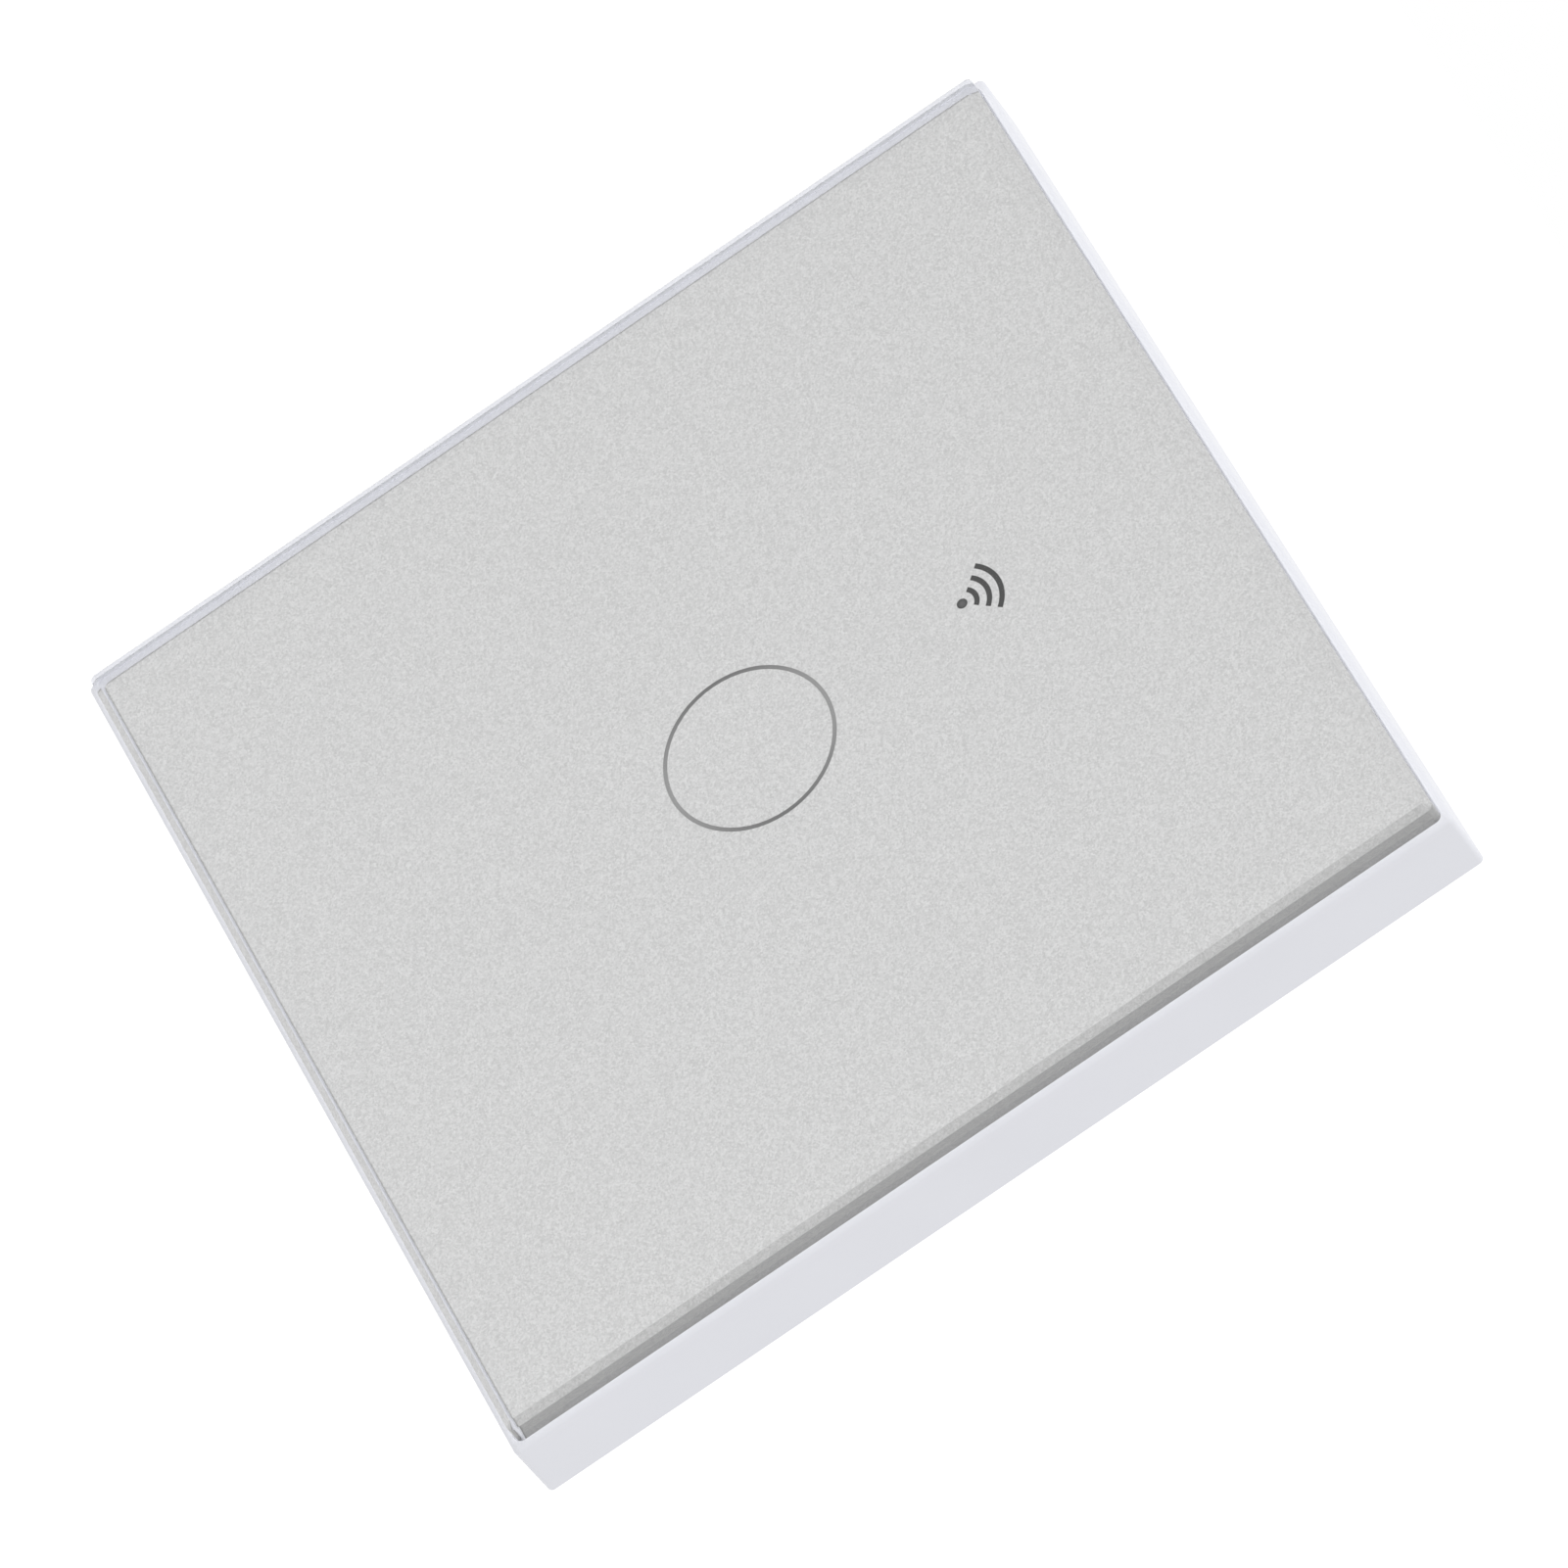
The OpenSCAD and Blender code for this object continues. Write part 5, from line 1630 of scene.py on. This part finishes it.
@dataclass
class PowerBoard:
    """The board in the case with its supply parts."""

    paints: Paints
    level: float = -5.0
    joints: tuple[tuple[float, float], ...] = (
        (-14.1, -9.95), (-14.1, 2.05), (-15.7, -3.95), (0.2, -3.95),
        (6.9, -10.15), (10.4, -10.15), (13.9, -10.15), (6.9, 0.65), (10.4, 0.65), (13.9, 0.65),
        (-13.55, 8.1), (-10.05, 8.1), (-4.4, 7.25), (-1.9, 7.25), (-9.0, 19.6), (1.0, 19.6),
        (-20.7, 7.0), (-17.7, 7.0), (5.5, 18.4), (10.5, 18.4), (9.9, 6.8), (20.7, 6.8),
        (-9.4, -13.7), (0.0, -13.7), (9.4, -13.7),
    )

    def build(self) -> None:
        """Build and dress the power board."""
        low, high = node_box("power_board")
        dress_node("power_board", self.paints.of(CircuitBoard("power_board_mask", low.y, high.y)))
        dress_node("header_socket", self.paints.of(BLACK))
        dress_node("socket_contacts", self.paints.of(BRASS))
        self._chips()
        self._solder()
        for name in ("mains_capacitor", "output_capacitor"):
            low, high = node_box(name)
            can = SleevedCan(name + "_sleeve", middle(name), (high.x - low.x) / 2, low.y, high.y)
            dress_node(name, self.paints.of(can))
        dress_node("film_capacitor", self.paints.of(Moulding("film_case", shade(206, 170, 62), 0.3)))
        dress_node("filter_choke", self.paints.of(Sintered("ferrite", shade(66, 66, 70))))
        dress_node("varistor", self.paints.of(DippedCoat("varistor_coat", shade(44, 92, 168))))
        banded = BandedResistor("resistor_coat", middle("fuse_resistor"), 3 * MM)
        dress_node("fuse_resistor", self.paints.of(banded))
        dress_node("transformer_core", self.paints.of(Sintered("ferrite", shade(66, 66, 70))))
        dress_node("transformer_bobbin", self.paints.of(BLACK))
        dress_node("transformer_winding", self.paints.of(Moulding("winding_tape", shade(224, 186, 52), 0.22)))

    def _chips(self) -> None:
        """Place the chips and the small parts on the front face of the power board."""
        chips = (
            GullWingChip(5, 12.5, 5, 4, 1.6, 4, self.level, 1),
            GullWingChip(-10, 3.6, 6, 4.4, 1.7, 2, self.level, 1),
            GullWingChip(11.5, -3, 3, 1.6, 1.2, 3, self.level, 1),
        )
        tin = self.paints.of(TIN)
        for number, chip in enumerate(chips):
            body = chip.body("power_chip_%d" % number)
            body.dress(Body.BASE, "black_plastic", self.paints.of(BLACK), "power_chips")
            chip.pins("power_chip_%d_legs" % number).dress(Body.BASE, "tinned_steel", tin)
        small = EndCapped(self.level, 1, 2.0, 1.2, 0.6)
        small.build("power_resistors",
                    ((-2.4, 12.6, 1), (-5.0, 12.6, 1), (-4.6, 3.4, 0), (-4.6, 1.2, 0), (14.8, 12.4, 0),
                     (14.8, 14.6, 0), (17.0, -3.0, 1), (-18.6, -9.6, 1), (-18.6, -13.4, 1)),
                    self.paints.of(BLACK), tin, Body.BASE, "black_plastic")
        small.build("power_capacitors",
                    ((-8.0, 12.6, 1), (-14.4, 12.4, 0), (0.6, 3.0, 1), (3.0, 3.0, 1), (17.6, -9.4, 1),
                     (5.2, 8.2, 0)),
                    self.paints.of(CERAMIC), tin, Body.BASE, "bobbin_plastic")

    def _solder(self) -> None:
        """Draw up a cone of solder round each lead that comes through the board."""
        first = self._joint("solder_joint_0", *self.joints[0])
        others = []
        for number, (right, up) in enumerate(self.joints[1:], 1):
            shift = at(right, up, 0) - at(self.joints[0][0], self.joints[0][1], 0)
            others.append(first.copy("solder_joint_%d" % number, shift))
        first.join(*others)
        first.thing.name = "solder_joints"
        first.smooth(60)
        first.dress(Body.BASE, "tinned_steel", self.paints.of(SOLDER))

    def _joint(self, name: str, right: float, up: float) -> Workpiece:
        """Build one joint: a wide foot that narrows in steps towards the lead's end."""
        thin = 0.03
        cone = Workpiece.rod(name, at(right, up, self.level + thin / 2), 0.9 * MM, thin * MM, 24)
        with cone:
            cone.faces(lambda normal, _: normal.y < -0.9)
            for rise, factor in ((0.1, 0.8), (0.16, 0.78), (0.24, 0.8), (0.22, 0.86), (0.1, 0.6)):
                cone.extrude((0, -rise * MM, 0))
                cone.resize(factor)
        return cone


@dataclass
class Relay:
    """The relay under its cover."""

    paints: Paints

    def build(self) -> None:
        """Build and dress the relay."""
        iron = Metal("soft_iron", shade(170, 172, 176), roughness=0.34)
        dress_node("relay_base", self.paints.of(BLACK))
        dress_node("relay_cover", self.paints.of(Moulding("relay_cover", shade(32, 74, 150), 0.3)))
        dress_node("relay_yoke", self.paints.of(iron))
        dress_node("relay_bobbin", self.paints.of(Moulding("bobbin_nylon", shade(226, 220, 202), 0.45)))
        dress_node("relay_coil", self.paints.of(WoundWire("coil_wire", 0.12 * MM, shade(176, 92, 44))))
        dress_node("relay_contact", self.paints.of(BRASS))
        dress_node("relay_armature", self.paints.of(iron))
        dress_node("relay_contact_spring", self.paints.of(BRASS))


@dataclass
class Terminals:
    """The terminal block with its bars, screws and wire clamps."""

    paints: Paints
    names: tuple[str, ...] = ("line", "neutral", "load")
    pitch: float = 9.4
    screw_y: float = -18.0
    head_seat: float = -19.5

    def build(self) -> None:
        """Build and dress the terminals."""
        dress_node("terminal_block", self.paints.of(Moulding("terminal_nylon", shade(60, 140, 92), 0.4)))
        dress_node("current_bars", self.paints.of(BRASS))
        form = CrossScrew(2.4 * MM, 2.0 * MM, 0.4 * MM, 1.5 * MM, 6.1 * MM, 5.0 * MM, 0.5 * MM,
                          1.3 * MM, 0.8 * MM, 1.15 * MM, long_slot=True)
        homes = (Body.SCREW_LINE, Body.SCREW_NEUTRAL, Body.SCREW_LOAD)
        for number, (name, home) in enumerate(zip(self.names, homes)):
            seat = at((number - 1) * self.pitch, self.screw_y, self.head_seat)
            screw = form.build("terminal_screw_%s_steel" % name, seat, 90)
            screw.dress(home, "zinc_plated_steel", self.paints.of(ZINC), "terminal_screw_" + name)
            dress_node("wire_clamp_" + name, self.paints.of(ZINC))


@dataclass
class Studio:
    """Camera, pale floor, soft lamps and the light all round."""

    eye: Point = (0.68122, -0.88161, 0.08559)
    turn: float = 37.725
    tilt: float = 4.383
    roll: float = 55.79
    lens: float = 329.9
    floor_drop: float = 0.34
    floor_glow: float = 0.53
    ambient: float = 0.86

    def build(self) -> None:
        """Set up the whole studio."""
        self._camera()
        self._world()
        self._floor()
        self._lamp("key_lamp", (-0.1, -0.6, 1.7), 1.4, 5.8)
        self._lamp("side_lamp", (1.3, -1.1, 0.6), 0.9, 1.9)

    def _camera(self) -> None:
        """Stand the camera where the photograph was taken."""
        data = bpy.data.cameras.new("photo_camera")
        data.lens = self.lens
        data.sensor_width = 36
        data.clip_start = 0.05
        data.clip_end = 100
        camera = bpy.data.objects.new("photo_camera", data)
        camera.matrix_world = (
            Matrix.Translation(self.eye)
            @ Matrix.Rotation(math.radians(self.turn), 4, "Z")
            @ Matrix.Rotation(math.radians(90 - self.tilt), 4, "X")
            @ Matrix.Rotation(math.radians(self.roll), 4, "Z")
        )
        bpy.context.scene.collection.objects.link(camera)
        bpy.context.scene.camera = camera

    def _world(self) -> None:
        """Light the room evenly, and show it white to the camera, metal and glass."""
        world = bpy.data.worlds.new("room")
        bpy.context.scene.world = world
        world.use_nodes = True
        nodes, links = world.node_tree.nodes, world.node_tree.links
        nodes.clear()
        path = nodes.new("ShaderNodeLightPath")
        seen = path.outputs["Is Camera Ray"]
        for name in ("Is Glossy Ray", "Is Transmission Ray"):
            either = nodes.new("ShaderNodeMath")
            either.operation = "MAXIMUM"
            links.new(seen, either.inputs[0])
            links.new(path.outputs[name], either.inputs[1])
            seen = either.outputs[0]
        strength = nodes.new("ShaderNodeMapRange")
        strength.inputs["To Min"].default_value = self.ambient
        strength.inputs["To Max"].default_value = 1.0
        links.new(seen, strength.inputs["Value"])
        room = nodes.new("ShaderNodeBackground")
        room.inputs["Color"].default_value = (1, 1, 1, 1)
        links.new(strength.outputs[0], room.inputs["Strength"])
        out = nodes.new("ShaderNodeOutputWorld")
        links.new(room.outputs[0], out.inputs["Surface"])

    def _floor(self) -> None:
        """Lay a wide pale floor that takes the object's shadow."""
        Workpiece.clear_selection()
        bpy.ops.mesh.primitive_plane_add(size=60, location=(0, 0, -self.floor_drop))
        floor = bpy.context.object
        floor.name = "studio_floor"
        board = ShaderBoard("studio_floor")
        paper = board.surface(Base_Color=(0.8, 0.8, 0.8, 1), Roughness=0.9, Specular_IOR_Level=0.0)
        glow = board.node("ShaderNodeEmission", inputs={"Strength": self.floor_glow}).outputs[0]
        path = board.node("ShaderNodeLightPath").outputs
        dark = board.node("ShaderNodeEmission", inputs={"Strength": 0.0}).outputs[0]
        seen = Value(board, path["Is Camera Ray"]).or_more(Value(board, path["Is Glossy Ray"]))
        seen = seen.or_more(Value(board, path["Is Transmission Ray"]))
        lit = board.node("ShaderNodeMixShader", inputs={0: seen, 1: dark, 2: glow}).outputs[0]
        both = board.node("ShaderNodeAddShader", inputs={0: paper, 1: lit}).outputs[0]
        floor.data.materials.append(board.finished(both))

    @staticmethod
    def _lamp(name: str, place: Point, width: float, power: float) -> None:
        """Hang a soft lamp that points at the object.

        Args:
            name: The lamp's name.
            place: Where it hangs, in metres.
            width: Width of its square face.
            power: Its power in watts.
        """
        data = bpy.data.lights.new(name, "AREA")
        data.size = width
        data.energy = power
        lamp = bpy.data.objects.new(name, data)
        lamp.location = place
        lamp.rotation_euler = (-Vector(place)).to_track_quat("-Z", "Y").to_euler()
        bpy.context.scene.collection.objects.link(lamp)


def main() -> None:
    """Build the switch and its studio."""
    logging.basicConfig(level=logging.INFO, format="%(name)s %(message)s")
    bpy.context.scene.view_settings.view_transform = "Standard"
    paints = Paints()
    Studio().build()
    for part in (GlassFront, WallPlate, PanelInside, RearCase, PowerBoard, Relay, Terminals):
        part(paints).build()


if __name__ == "__main__":
    main()
